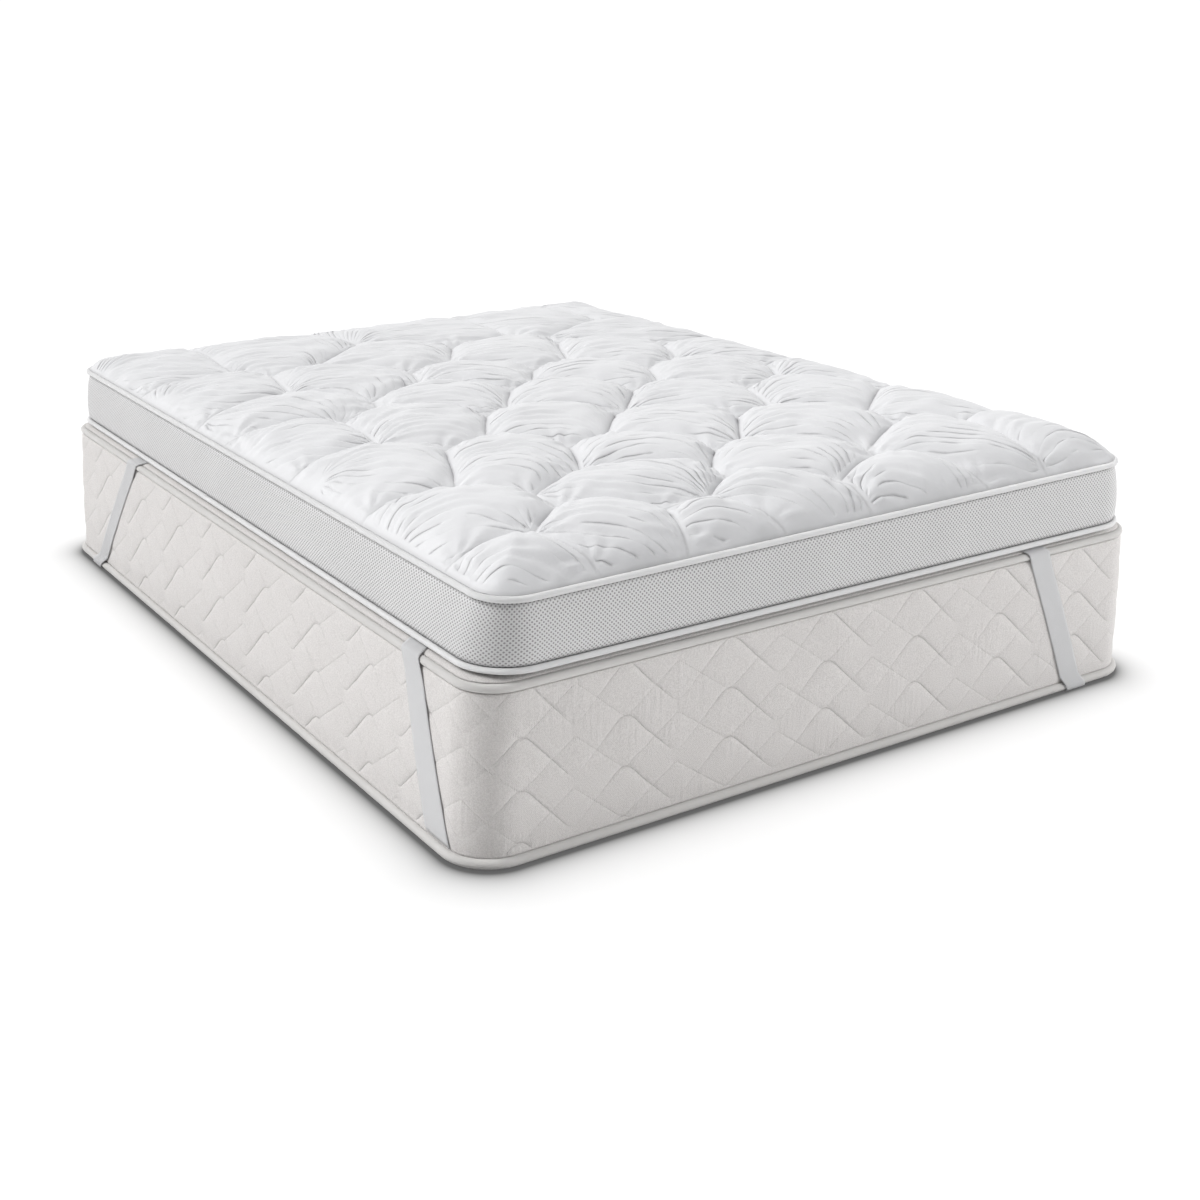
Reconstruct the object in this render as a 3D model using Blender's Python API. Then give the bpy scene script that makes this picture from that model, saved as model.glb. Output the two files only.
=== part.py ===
"""A quilted mattress topper on its mattress.

The topper is a filled pad with a quilted, crowned top panel, a mesh side band
between two rows of piping, and elastic corner straps that hold it to the
mattress. The mattress is a filled body with a rolled tape round each edge.

Metres, +Z up. X runs across the bed, Y from the foot (-Y) to the head (+Y).
The origin is on the floor, under the middle of the mattress.
"""
import math

import bmesh
import bpy

# Clearance between touching pieces
GAP = 0.0003
# Edges that bend by more than this are shown sharp
SHARP_ANGLE = math.radians(50)

# Mattress
MATTRESS_WIDTH = 1.600
MATTRESS_LENGTH = 2.000
MATTRESS_CORNER = 0.088
# Rings far in from the side keep at least this corner
MATTRESS_INNER_CORNER = 0.020
MATTRESS_TOP = 0.331
# The underside rests on a flat middle; outside it the hem is lifted for the straps
REST_INSET = 0.150
REST_SLOPE_RUN = 0.010
HEM_LIFT = 0.003
SIDE_BULGE = 0.004
# Inset of the side at the lower and at the upper tape, and how much more the long sides lean in
SIDE_LOW_INSET = 0.004
SIDE_TOP_INSET = 0.010
LONG_SIDE_LEAN = 0.012
# A tape lies this far off the body behind it, and the cover rolls in to the seam over this run
TAPE_SEAT_GAP = 0.0008
SEAM_ROLL = 0.0045

# Rolled tape edges: radius, height of the centre, inset of the centre from the nominal side
TAPE_BOTTOM_RADIUS = 0.009
TAPE_BOTTOM_Z = HEM_LIFT + TAPE_BOTTOM_RADIUS
TAPE_BOTTOM_INSET = 0.001
TAPE_TOP_RADIUS = 0.008
TAPE_TOP_Z = 0.3115
TAPE_TOP_INSET = 0.014
TAPE_SIDES = 8
# Heights of the side's section points
SIDE_LEVELS = (0.032, 0.050, 0.090, 0.150, 0.210, 0.250, 0.275)
# The shoulder between the upper tape and the flat top: (inset, height)
SHOULDER = (
    (0.024, MATTRESS_TOP - 0.0073),
    (0.037, MATTRESS_TOP - 0.0040),
    (0.055, MATTRESS_TOP - 0.0022),
    (0.080, MATTRESS_TOP),
)

# Topper: insets of its two seams from the mattress's nominal sides, and their corner radii
TOPPER_BOTTOM = MATTRESS_TOP + GAP
SEAM_BOTTOM_INSET_X = 0.040
SEAM_BOTTOM_INSET_Y = 0.012
SEAM_BOTTOM_CORNER = 0.092
SEAM_TOP_INSET_X = 0.066
SEAM_TOP_INSET_Y = 0.011
SEAM_TOP_CORNER = 0.070
PIPING_BOTTOM_RADIUS = 0.0055
PIPING_TOP_RADIUS = 0.006
PIPING_PROUD = 0.003
PIPING_SIDES = 8
PIPING_BOTTOM_Z = TOPPER_BOTTOM + PIPING_BOTTOM_RADIUS
PIPING_TOP_Z = 0.4555
# The top seam stands this much higher on the right side than on the left
RIGHT_RISE = 0.011
# It drops this much from the foot to the head
HEAD_DROP = 0.005
# Its middle lies this far to the left of the mattress's middle
TOP_SHIFT = 0.009
# The mesh side band between the two pipings, and the section points up its height
BAND_LOW = PIPING_BOTTOM_Z + PIPING_BOTTOM_RADIUS + GAP
BAND_HIGH = PIPING_TOP_Z - PIPING_TOP_RADIUS - GAP
BAND_THICKNESS = 0.002
BAND_BULGE = 0.007
BAND_SHARES = (0.0, 0.12, 0.35, 0.65, 0.88, 1.0)

# Quilted top panel: it leaves its seam this far above the middle of the top piping, then rises
PANEL_LIP = 0.0036
CROWN_RISE = 0.036
CROWN_RUN = 0.036
PUFF_RISE = 0.018
PUFF_RUN = 0.022
PUFF_EDGE_RUN = 0.090
# The fill is thicker at the foot than at the head by this share of its mean
FILL_TAPER = 0.65
PANEL_CORNER_STEPS = 4
PANEL_STEPS_X = 40
PANEL_STEPS_Y = 50

# Puffs of the quilting, in diagonal rows from the left side or the foot towards the head:
# (distance from the mattress's left side, distance from its foot) of each puff's middle
PUFF_ROWS = (
    ((0.15, 1.79),),
    ((0.19, 1.42), (0.49, 1.76)),
    ((0.16, 0.93), (0.26, 1.18), (0.47, 1.35), (0.69, 1.55), (0.90, 1.79)),
    ((0.20, 0.66), (0.41, 0.90), (0.60, 1.09), (0.75, 1.24), (0.93, 1.40), (1.25, 1.79)),
    ((0.15, 0.30), (0.43, 0.55), (0.64, 0.76), (0.80, 0.96), (0.96, 1.11), (1.15, 1.27), (1.38, 1.50)),
    ((0.14, 0.05), (0.54, 0.30), (0.63, 0.45), (0.83, 0.60), (1.02, 0.78), (1.23, 0.97), (1.40, 1.14)),
    ((0.36, 0.09), (0.86, 0.27), (1.04, 0.44), (1.28, 0.67), (1.46, 0.83)),
    ((0.53, 0.03), (0.71, 0.09), (1.20, 0.18), (1.44, 0.48)),
    ((0.98, 0.05), (1.44, 0.15), (1.50, 1.79)),
)

# Elastic corner straps
STRAP_WIDTH = 0.056
STRAP_THICKNESS = 0.0015
STRAP_CLEARANCE = 0.0006
# Middle surface of a strap: over the shoulder as (inset, height), then round each tape as
# (out, up) from the tape's own centre
STRAP_SHOULDER = (
    (0.056, MATTRESS_TOP - 0.0009),
    (0.037, MATTRESS_TOP - 0.0022),
    (0.024, MATTRESS_TOP - 0.0048),
)
STRAP_ROUND_TOP_TAPE = ((-0.0005, 0.0110), (0.0055, 0.0090), (0.00935, 0.0045), (0.00935, -0.0045))
STRAP_ROUND_BOTTOM_TAPE = ((0.01035, 0.0065), (0.01035, -0.0040), (0.00815, -0.0082))
STRAP_UNDER_TAPE_INSET = -0.004
STRAP_END_INSET = 0.020
# The strap at the foot's left corner ends in the seam over the lower tape: distance from the
# corner to its middle at the topper and at that seam, its width there, and where it ends
SEAMED_STRAP_TOP_REACH = 0.237
SEAMED_STRAP_END_REACH = 0.112
SEAMED_STRAP_END_WIDTH = 0.080
SEAMED_STRAP_END = (0.003, 0.0236)
# The others pass under their corners: name, corner as signs of x and y, distance from the corner
# to the strap's middle at the topper, along the foot or head side and along the long side
STRAP_LOOPS = (
    ("strap_foot_right", (1, -1), 0.3435, 0.335),
    ("strap_head_left", (-1, 1), 0.335, 0.490),
    ("strap_head_right", (1, 1), 0.335, 0.335),
)
STRAP_FLOOR_REACH = 0.165

CORNER_STEPS = 4


def material(name, colour, roughness):
    """A cloth finish: a Principled BSDF with one colour."""
    finish = bpy.data.materials.new(name)
    finish.use_nodes = True
    shader = finish.node_tree.nodes["Principled BSDF"]
    shader.inputs["Base Color"].default_value = (*colour, 1.0)
    shader.inputs["Roughness"].default_value = roughness
    shader.inputs["Metallic"].default_value = 0.0
    return finish


def add_object(name, mesh_data, finish):
    """Closes a bmesh into a named object whose faces point outwards."""
    bmesh.ops.recalc_face_normals(mesh_data, faces=mesh_data.faces)
    mesh = bpy.data.meshes.new(name)
    mesh_data.to_mesh(mesh)
    mesh_data.free()
    mesh.materials.append(finish)
    mesh.shade_smooth()
    mesh.set_sharp_from_angle(angle=SHARP_ANGLE)
    part = bpy.data.objects.new(name, mesh)
    bpy.context.scene.collection.objects.link(part)
    return part


def mix(low, high, share):
    return low + (high - low) * share


def axis_place(index, corner_steps, edge_steps):
    """Where a grid line lies along one axis: its side, its share of the corner and of the edge."""
    if index <= corner_steps:
        return -1, (corner_steps - index) / corner_steps, 0.0
    if index >= corner_steps + edge_steps:
        return 1, (index - corner_steps - edge_steps) / corner_steps, 1.0
    return 0, 0.0, (index - corner_steps) / edge_steps


def plan_point(place_x, place_y, half_x, half_y, radius):
    """A grid point in a rounded rectangle: each corner square is bent onto a quarter disc."""
    side_x, reach_x, share_x = place_x
    side_y, reach_y, share_y = place_y
    flat_x = half_x - radius
    flat_y = half_y - radius
    x = -flat_x + 2 * flat_x * share_x
    y = -flat_y + 2 * flat_y * share_y
    x += side_x * radius * reach_x * math.sqrt(1 - reach_y ** 2 / 2)
    y += side_y * radius * reach_y * math.sqrt(1 - reach_x ** 2 / 2)
    return x, y


def border_indices(count_x, count_y):
    """Grid indices once round the border, anticlockwise from the foot's left corner."""
    foot = [(i, 0) for i in range(count_x)]
    right = [(count_x, j) for j in range(count_y)]
    head = [(count_x - i, count_y) for i in range(count_x)]
    left = [(0, count_y - j) for j in range(count_y)]
    return foot + right + head + left


def outline(half_x, half_y, radius, corner_steps=CORNER_STEPS, steps_x=1, steps_y=1):
    """Points once round a rounded rectangle."""
    count_x = 2 * corner_steps + steps_x
    count_y = 2 * corner_steps + steps_y
    points = []
    for i, j in border_indices(count_x, count_y):
        place_x = axis_place(i, corner_steps, steps_x)
        place_y = axis_place(j, corner_steps, steps_y)
        points.append(plan_point(place_x, place_y, half_x, half_y, radius))
    return points


def add_ring(mesh_data, points):
    """One closed ring of vertices."""
    return [mesh_data.verts.new(point) for point in points]


def bridge(mesh_data, ring_a, ring_b):
    """Quads between two rings of the same length."""
    count = len(ring_a)
    for k in range(count):
        after = (k + 1) % count
        mesh_data.faces.new((ring_a[k], ring_a[after], ring_b[after], ring_b[k]))


def stacked_solid(name, rings, finish):
    """A solid lofted through rings, with a flat face at each end."""
    mesh_data = bmesh.new()
    made = [add_ring(mesh_data, ring) for ring in rings]
    for lower, upper in zip(made, made[1:]):
        bridge(mesh_data, lower, upper)
    mesh_data.faces.new(made[0])
    mesh_data.faces.new(made[-1])
    return add_object(name, mesh_data, finish)


def round_section(radius, sides):
    """(out, up) round a cord's section, its flats a radius from the middle."""
    points = []
    for k in range(sides):
        angle = 2 * math.pi * (k + 0.5) / sides
        reach = radius / math.cos(math.pi / sides)
        points.append((reach * math.cos(angle), reach * math.sin(angle)))
    return points


def hoop_solid(name, rings, finish):
    """A closed hoop: the rings are the corners of its section, in order round it."""
    mesh_data = bmesh.new()
    made = [add_ring(mesh_data, ring) for ring in rings]
    for k, ring in enumerate(made):
        bridge(mesh_data, ring, made[(k + 1) % len(made)])
    return add_object(name, mesh_data, finish)


# ---------------------------------------------------------------- mattress

def side_share(z):
    """Share of the side's height, from the lower tape to the upper."""
    return (z - TAPE_BOTTOM_Z) / (TAPE_TOP_Z - TAPE_BOTTOM_Z)


def lean(z):
    """How much further in the long sides are than the foot and the head."""
    return LONG_SIDE_LEAN * min(max(side_share(z), 0.0), 1.0)


def mattress_ring(inset, z):
    """A ring of the mattress at an inset from its nominal side."""
    half_x = MATTRESS_WIDTH / 2 - inset - lean(z)
    half_y = MATTRESS_LENGTH / 2 - inset
    radius = max(MATTRESS_CORNER - inset, MATTRESS_INNER_CORNER)
    return [(x, y, z) for x, y in outline(half_x, half_y, radius)]


def side_inset(z):
    """Inset of the mattress's side: it bulges a little between its two tapes."""
    share = side_share(z)
    return mix(SIDE_LOW_INSET, SIDE_TOP_INSET, share) - SIDE_BULGE * math.sqrt(math.sin(math.pi * share))


def body_profile():
    """(inset, z) down the mattress's section, from its underside to its top."""
    bottom_seat = TAPE_BOTTOM_INSET + TAPE_BOTTOM_RADIUS + TAPE_SEAT_GAP
    bottom_crease = TAPE_BOTTOM_Z + TAPE_BOTTOM_RADIUS + TAPE_SEAT_GAP
    top_seat = TAPE_TOP_INSET + TAPE_TOP_RADIUS + TAPE_SEAT_GAP
    top_crease = TAPE_TOP_Z - TAPE_TOP_RADIUS - TAPE_SEAT_GAP
    return [
        (REST_INSET, 0.0),
        (REST_INSET - REST_SLOPE_RUN, HEM_LIFT),
        (bottom_seat, HEM_LIFT),
        (bottom_seat, bottom_crease - SEAM_ROLL),
        (bottom_seat - SEAM_ROLL, bottom_crease),
        *[(side_inset(z), z) for z in SIDE_LEVELS],
        (TAPE_TOP_INSET - SEAM_ROLL, top_crease - SEAM_ROLL / 2),
        (TAPE_TOP_INSET, top_crease),
        (top_seat, top_crease),
        (top_seat, TAPE_TOP_Z + SEAM_ROLL),
        (TAPE_TOP_INSET + SEAM_ROLL, TAPE_TOP_Z + TAPE_TOP_RADIUS + TAPE_SEAT_GAP),
        *SHOULDER,
    ]


def make_mattress(finish, tape_finish):
    """The filled body and the rolled tape round each of its two edges."""
    rings = [mattress_ring(inset, z) for inset, z in body_profile()]
    stacked_solid("mattress_body", rings, finish)
    tapes = (
        ("mattress_tape_bottom", TAPE_BOTTOM_RADIUS, TAPE_BOTTOM_INSET, TAPE_BOTTOM_Z),
        ("mattress_tape_top", TAPE_TOP_RADIUS, TAPE_TOP_INSET, TAPE_TOP_Z),
    )
    for name, radius, inset, z in tapes:
        section = round_section(radius, TAPE_SIDES)
        rings = [mattress_ring(inset - out, z + up) for out, up in section]
        hoop_solid(name, rings, tape_finish)


# ---------------------------------------------------------------- topper

def seam_path(share, offset):
    """Half width, half length and corner of the topper at a share of its side's height."""
    half_x = MATTRESS_WIDTH / 2 - mix(SEAM_BOTTOM_INSET_X, SEAM_TOP_INSET_X, share)
    half_y = MATTRESS_LENGTH / 2 - mix(SEAM_BOTTOM_INSET_Y, SEAM_TOP_INSET_Y, share)
    radius = mix(SEAM_BOTTOM_CORNER, SEAM_TOP_CORNER, share)
    return half_x + offset, half_y + offset, radius + offset


def set_on_topper(x, y, z, share):
    """Moves a point with the top seam, which is shifted, higher on the right and lower at the head."""
    rise = RIGHT_RISE * (x / MATTRESS_WIDTH + 0.5) - HEAD_DROP * (y / MATTRESS_LENGTH + 0.5)
    return x - TOP_SHIFT * share, y, z + rise * share


def height_share(z):
    """Share of the side band's height: 0 at and below its lower edge, 1 at and above its upper."""
    return min(max((z - BAND_LOW) / (BAND_HIGH - BAND_LOW), 0.0), 1.0)


def topper_ring(offset, z, **steps):
    """A ring round the topper, at an offset out from its seam line."""
    share = height_share(z)
    points = outline(*seam_path(share, offset), **steps)
    return [set_on_topper(x, y, z, share) for x, y in points]


def band_bulge(z):
    """How far the side band stands out from the line between its seams."""
    return BAND_BULGE * math.sqrt(abs(math.sin(math.pi * height_share(z))))


def band_levels():
    """Heights of the side band's section points, from one piping to the other."""
    return [mix(BAND_LOW, BAND_HIGH, share) for share in BAND_SHARES]


def make_band(finish):
    """The mesh side band: a thin hoop, drawn in at both seams."""
    outer = [topper_ring(band_bulge(z), z) for z in band_levels()]
    inner = [topper_ring(band_bulge(z) - BAND_THICKNESS, z) for z in reversed(band_levels())]
    hoop_solid("topper_band", outer + inner, finish)


def make_piping(name, radius, centre_z, finish):
    """A round piping cord sewn into one seam."""
    rings = []
    share = height_share(centre_z)
    for out, up in round_section(radius, PIPING_SIDES):
        points = outline(*seam_path(share, PIPING_PROUD + out))
        rings.append([set_on_topper(x, y, centre_z + up, share) for x, y in points])
    hoop_solid(name, rings, finish)


def puff_centres():
    """Middles of all puffs, in the part's own frame."""
    centres = []
    for row in PUFF_ROWS:
        for from_left, from_foot in row:
            centres.append((from_left - MATTRESS_WIDTH / 2, from_foot - MATTRESS_LENGTH / 2))
    return centres


def seam_distance(x, y, centres):
    """Distance to the nearest quilting seam, midway between two neighbouring puffs."""
    ranked = sorted(centres, key=lambda c: (x - c[0]) ** 2 + (y - c[1]) ** 2)
    own_x, own_y = ranked[0]
    own = (x - own_x) ** 2 + (y - own_y) ** 2
    nearest = 1.0
    for other_x, other_y in ranked[1:7]:
        spread = math.hypot(other_x - own_x, other_y - own_y)
        other = (x - other_x) ** 2 + (y - other_y) ** 2
        nearest = min(nearest, (other - own) / (2 * spread))
    return nearest


def edge_distance(x, y):
    """Distance in from the top seam."""
    half_x, half_y, radius = seam_path(1.0, 0.0)
    over_x = max(abs(x) - (half_x - radius), 0.0)
    over_y = max(abs(y) - (half_y - radius), 0.0)
    straight = min(half_x - abs(x), half_y - abs(y))
    if over_x > 0 and over_y > 0:
        return radius - math.hypot(over_x, over_y)
    return straight


def panel_rise(x, y, centres):
    """Height of the quilted panel over its top seam: a crown with a puff between the seams."""
    inward = max(edge_distance(x, y), 0.0)
    crown = CROWN_RISE * (1 - math.exp(-inward / CROWN_RUN))
    puff = 1 - math.exp(-seam_distance(x - TOP_SHIFT, y, centres) / PUFF_RUN)
    puff *= 1 - math.exp(-inward / PUFF_EDGE_RUN)
    taper = 1 - FILL_TAPER * y / MATTRESS_LENGTH
    return (crown + PUFF_RISE * puff) * taper


def make_pad(finish):
    """The filled pad: flat below, drawn in at its seams, quilted and crowned on top."""
    mesh_data = bmesh.new()
    centres = puff_centres()
    count_x = 2 * PANEL_CORNER_STEPS + PANEL_STEPS_X
    count_y = 2 * PANEL_CORNER_STEPS + PANEL_STEPS_Y
    panel_offset = PIPING_PROUD - PIPING_TOP_RADIUS - 2 * GAP
    path = seam_path(1.0, panel_offset)
    grid = {}
    for i in range(count_x + 1):
        for j in range(count_y + 1):
            place_x = axis_place(i, PANEL_CORNER_STEPS, PANEL_STEPS_X)
            place_y = axis_place(j, PANEL_CORNER_STEPS, PANEL_STEPS_Y)
            x, y = plan_point(place_x, place_y, *path)
            z = PIPING_TOP_Z + PANEL_LIP + panel_rise(x, y, centres)
            grid[i, j] = mesh_data.verts.new(set_on_topper(x, y, z, 1.0))
    for i in range(count_x):
        for j in range(count_y):
            mesh_data.faces.new((grid[i, j], grid[i + 1, j], grid[i + 1, j + 1], grid[i, j + 1]))
    steps = {"corner_steps": PANEL_CORNER_STEPS, "steps_x": PANEL_STEPS_X, "steps_y": PANEL_STEPS_Y}
    upper = [grid[index] for index in border_indices(count_x, count_y)]
    for offset, z in pad_side_profile(panel_offset):
        lower = add_ring(mesh_data, topper_ring(offset, z, **steps))
        bridge(mesh_data, upper, lower)
        upper = lower
    mesh_data.faces.new(upper)
    add_object("topper_pad", mesh_data, finish)


def pad_side_profile(panel_offset):
    """(offset, z) down the pad's side, behind the top piping, the band and the bottom piping."""
    levels = band_levels()
    behind_band = BAND_THICKNESS + 2 * GAP
    profile = [(panel_offset, PIPING_TOP_Z - PIPING_TOP_RADIUS)]
    for z in reversed(levels[1:-1]):
        profile.append((band_bulge(z) - behind_band, z))
    low_offset = PIPING_PROUD - PIPING_BOTTOM_RADIUS - 2 * GAP
    profile.append((low_offset, PIPING_BOTTOM_Z + PIPING_BOTTOM_RADIUS))
    profile.append((low_offset, TOPPER_BOTTOM))
    return profile


# ---------------------------------------------------------------- straps

def strap_profile(leg_end):
    """(inset, z) down a strap's middle surface, from the topper to the floor or to the lower seam."""
    off = STRAP_CLEARANCE + STRAP_THICKNESS / 2
    points = list(STRAP_SHOULDER)
    points += [(TAPE_TOP_INSET - out, TAPE_TOP_Z + up) for out, up in STRAP_ROUND_TOP_TAPE]
    points += [(side_inset(z) - off, z) for z in reversed(SIDE_LEVELS)]
    if leg_end == "seam":
        return points + [SEAMED_STRAP_END]
    points += [(TAPE_BOTTOM_INSET - out, TAPE_BOTTOM_Z + up) for out, up in STRAP_ROUND_BOTTOM_TAPE]
    under = HEM_LIFT - off
    return points + [(STRAP_UNDER_TAPE_INSET, under), (STRAP_END_INSET, under)]


def profile_offsets(points, half_thickness):
    """For each profile point, its move to the strap's outer face, mitred between the two runs."""
    moves = []
    for k, here in enumerate(points):
        before = points[max(k - 1, 0)]
        after = points[min(k + 1, len(points) - 1)]
        runs = []
        for start, end in ((before, here), (here, after)):
            length = math.hypot(end[0] - start[0], end[1] - start[1])
            if length > 0:
                runs.append(((end[1] - start[1]) / length, -(end[0] - start[0]) / length))
        sum_x = sum(run[0] for run in runs) / len(runs)
        sum_z = sum(run[1] for run in runs) / len(runs)
        scale = half_thickness / (sum_x ** 2 + sum_z ** 2)
        moves.append((sum_x * scale, sum_z * scale))
    return moves


def leg_stations(leg_end, top_reach, end_reach, end_width):
    """Strap stations down one leg: reach of both edges from the corner, outer and inner point."""
    points = strap_profile(leg_end)
    moves = profile_offsets(points, STRAP_THICKNESS / 2)
    length = sum(math.dist(a, b) for a, b in zip(points, points[1:]))
    stations = []
    run = 0.0
    for k, (inset, z) in enumerate(points):
        if k:
            run += math.dist(points[k - 1], points[k])
        reach = mix(top_reach, end_reach, run / length)
        width = mix(STRAP_WIDTH, end_width, run / length)
        outer = (inset + moves[k][0], z + moves[k][1])
        inner = (inset - moves[k][0], z - moves[k][1])
        stations.append((reach - width / 2, reach + width / 2, outer, inner))
    return stations


def face_point(corner, face, reach, profile_point):
    """A point on a side of the mattress, given by its reach from the corner and (inset, z)."""
    inset, z = profile_point
    side_x, side_y = corner
    if face == "x":
        return side_x * (MATTRESS_WIDTH / 2 - inset - lean(z)), side_y * (MATTRESS_LENGTH / 2 - reach), z
    return side_x * (MATTRESS_WIDTH / 2 - reach), side_y * (MATTRESS_LENGTH / 2 - inset), z


def strap_sections(corner, face, stations):
    """Four corners of the strap's section at each station of a leg."""
    sections = []
    for near, far, outer, inner in stations:
        sections.append([
            face_point(corner, face, near, outer),
            face_point(corner, face, far, outer),
            face_point(corner, face, far, inner),
            face_point(corner, face, near, inner),
        ])
    return sections


def make_straps(finish):
    """Three straps pass under their corners; the fourth ends in the seam over the lower tape."""
    ends = (SEAMED_STRAP_TOP_REACH, SEAMED_STRAP_END_REACH, SEAMED_STRAP_END_WIDTH)
    leg = leg_stations("seam", *ends)
    stacked_solid("strap_foot_left", strap_sections((-1, -1), "x", leg), finish)
    for name, corner, short_reach, long_reach in STRAP_LOOPS:
        short_leg = leg_stations("floor", short_reach, STRAP_FLOOR_REACH, STRAP_WIDTH)
        long_leg = leg_stations("floor", long_reach, STRAP_FLOOR_REACH, STRAP_WIDTH)
        down = strap_sections(corner, "y", short_leg)
        up = strap_sections(corner, "x", long_leg)[::-1]
        stacked_solid(name, down + up, finish)


def clear_scene():
    for item in list(bpy.data.objects):
        bpy.data.objects.remove(item, do_unlink=True)


clear_scene()
KNIT = material("mattress_knit", (0.78, 0.76, 0.73), 0.9)
TAPE = material("mattress_tape", (0.82, 0.80, 0.77), 0.8)
PANEL = material("quilted_panel", (0.93, 0.93, 0.94), 0.75)
MESH = material("side_mesh", (0.66, 0.67, 0.69), 0.8)
PIPING = material("white_piping", (0.88, 0.88, 0.88), 0.7)
ELASTIC = material("elastic", (0.70, 0.71, 0.73), 0.7)
make_mattress(KNIT, TAPE)
make_pad(PANEL)
make_band(MESH)
make_piping("topper_piping_bottom", PIPING_BOTTOM_RADIUS, PIPING_BOTTOM_Z, PIPING)
make_piping("topper_piping_top", PIPING_TOP_RADIUS, PIPING_TOP_Z, PIPING)
make_straps(ELASTIC)
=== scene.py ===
"""A quilted mattress topper strapped on its mattress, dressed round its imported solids.

Metres, +Z up. X runs across the bed, Y from the foot (-Y) to the head (+Y), and the origin is on
the floor under the middle of the mattress. The sections follow the bed as it is put together.
"""
import math

import bmesh
import bpy
import numpy as np
from mathutils import Matrix, Vector


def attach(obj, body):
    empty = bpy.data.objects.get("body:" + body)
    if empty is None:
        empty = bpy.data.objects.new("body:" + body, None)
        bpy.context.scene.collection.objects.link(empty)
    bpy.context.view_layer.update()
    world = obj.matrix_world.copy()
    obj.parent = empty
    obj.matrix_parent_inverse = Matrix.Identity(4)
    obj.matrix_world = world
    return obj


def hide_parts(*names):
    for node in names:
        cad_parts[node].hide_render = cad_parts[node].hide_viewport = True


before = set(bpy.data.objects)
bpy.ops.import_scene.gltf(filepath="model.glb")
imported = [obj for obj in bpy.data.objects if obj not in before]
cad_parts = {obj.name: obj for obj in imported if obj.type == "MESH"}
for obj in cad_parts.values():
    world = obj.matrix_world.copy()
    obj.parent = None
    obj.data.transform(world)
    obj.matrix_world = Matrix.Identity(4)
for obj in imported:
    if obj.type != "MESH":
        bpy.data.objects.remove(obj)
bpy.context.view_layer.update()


# ---------------------------------------------------------------- studio
# The bed stands on a plain white floor in a white studio, with a contact shadow painted on the floor
# round the bed. The sky is bright behind the bed and dim on the camera's side, and lamps on the left
# and on the right model its sides.

LENS_MM = 48.93
SENSOR_MM = 36.0
SHIFT_X = 0.0023
CAMERA_PLACE = (-1.92197507, -2.99134399, 1.33297633)
CAMERA_RIGHT = (0.82783776, -0.56087736, 0.01006125)
CAMERA_DOWN = (-0.18854335, -0.2950868, -0.93668308)
CAMERA_AHEAD = (0.52833327, 0.77352464, -0.35003369)
FLOOR_HALF = 14.0
FLOOR_DROP = 0.0005
BED_HALF = (0.808, 1.008)
BED_CORNER = 0.096
# The contact shadow painted on the floor round the bed: how far it runs out, and its strength at the
# bed
NEAR_SHADE = (0.014, 0.37)
WIDE_SHADE = (0.062, 0.50)
FLOOR_WHITES = ((0.95, 0.95, 0.95), (0.97, 0.97, 0.97))
# The colour of the painted contact shadow
FLOOR_SHADOW_COLOUR = (0.02, 0.02, 0.02)
CORNER_SIGNS = ((-1, -1), (1, -1), (1, 1), (-1, 1))
SKY_OVERHEAD = 0.48
SKY_BEHIND = 1.08
SKY_IN_FRONT = 0.18
# Where the sky turns dim, and from which lean to which it does
FRONT_WAY = (-0.53, -0.78, 0.0)
FRONT_SPAN = (-0.25, 0.45)
OVERHEAD_WAY = (0.0, 0.0, 1.0)
OVERHEAD_SPAN = (0.25, 0.95)
KEY_POWER = 2.3
KEY_TRAVEL = (0.58, -0.43, -0.69)
FLOOR_LIGHT_POWER = 1.97
SUN_SPREAD = 0.45
FILL_POWER = 110.0
FRONT_POWER = 50.0
FILL_SIZE = 1.8
FILL_PLACE = (3.95, -3.75, 2.55)
FILL_AIM = (0.0, -1.0, 0.2)

camera_data = bpy.data.cameras.new("camera")
camera_data.lens = LENS_MM
camera_data.sensor_width = SENSOR_MM
camera_data.shift_x = SHIFT_X
camera = bpy.data.objects.new("camera", camera_data)
bpy.context.scene.collection.objects.link(camera)
camera_axes = Matrix((CAMERA_RIGHT, [-n for n in CAMERA_DOWN], [-n for n in CAMERA_AHEAD]))
camera.matrix_world = Matrix.Translation(CAMERA_PLACE) @ camera_axes.transposed().to_4x4()
bpy.context.scene.camera = camera
bpy.context.scene.view_settings.view_transform = "Standard"


class Link:
    """A shader socket that takes part in sums, so that a pattern is written as an expression."""

    def __init__(self, tree, socket):
        self.tree = tree
        self.socket = socket

    def math(self, operation, *others):
        node = self.tree.nodes.new("ShaderNodeMath")
        node.operation = operation
        for slot, value in enumerate((self, *others)):
            feed(self.tree, node.inputs[slot], value)
        return Link(self.tree, node.outputs[0])

    def __add__(self, other):
        return self.math("ADD", other)

    def __sub__(self, other):
        return self.math("SUBTRACT", other)

    def __mul__(self, other):
        return self.math("MULTIPLY", other)

    def __truediv__(self, other):
        return self.math("DIVIDE", other)

    def __radd__(self, other):
        return self + other

    def __rsub__(self, other):
        return (self * -1.0) + other

    def sine(self):
        return self.math("SINE")

    def root(self):
        return self.math("SQRT")

    def fading(self, run):
        """1 at zero, falling away with distance over a run."""
        return (self * (-1.0 / run)).math("EXPONENT")

    def off_whole(self):
        """Distance from the nearest whole number."""
        return (self - self.math("ROUND")).size()

    def size(self):
        return self.math("ABSOLUTE")

    def clip(self, low, high):
        """0 at and below low, 1 at and above high, smooth between."""
        node = self.tree.nodes.new("ShaderNodeMapRange")
        node.interpolation_type = "SMOOTHSTEP"
        for slot, value in (("Value", self), ("From Min", low), ("From Max", high)):
            feed(self.tree, node.inputs[slot], value)
        return Link(self.tree, node.outputs[0])


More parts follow.
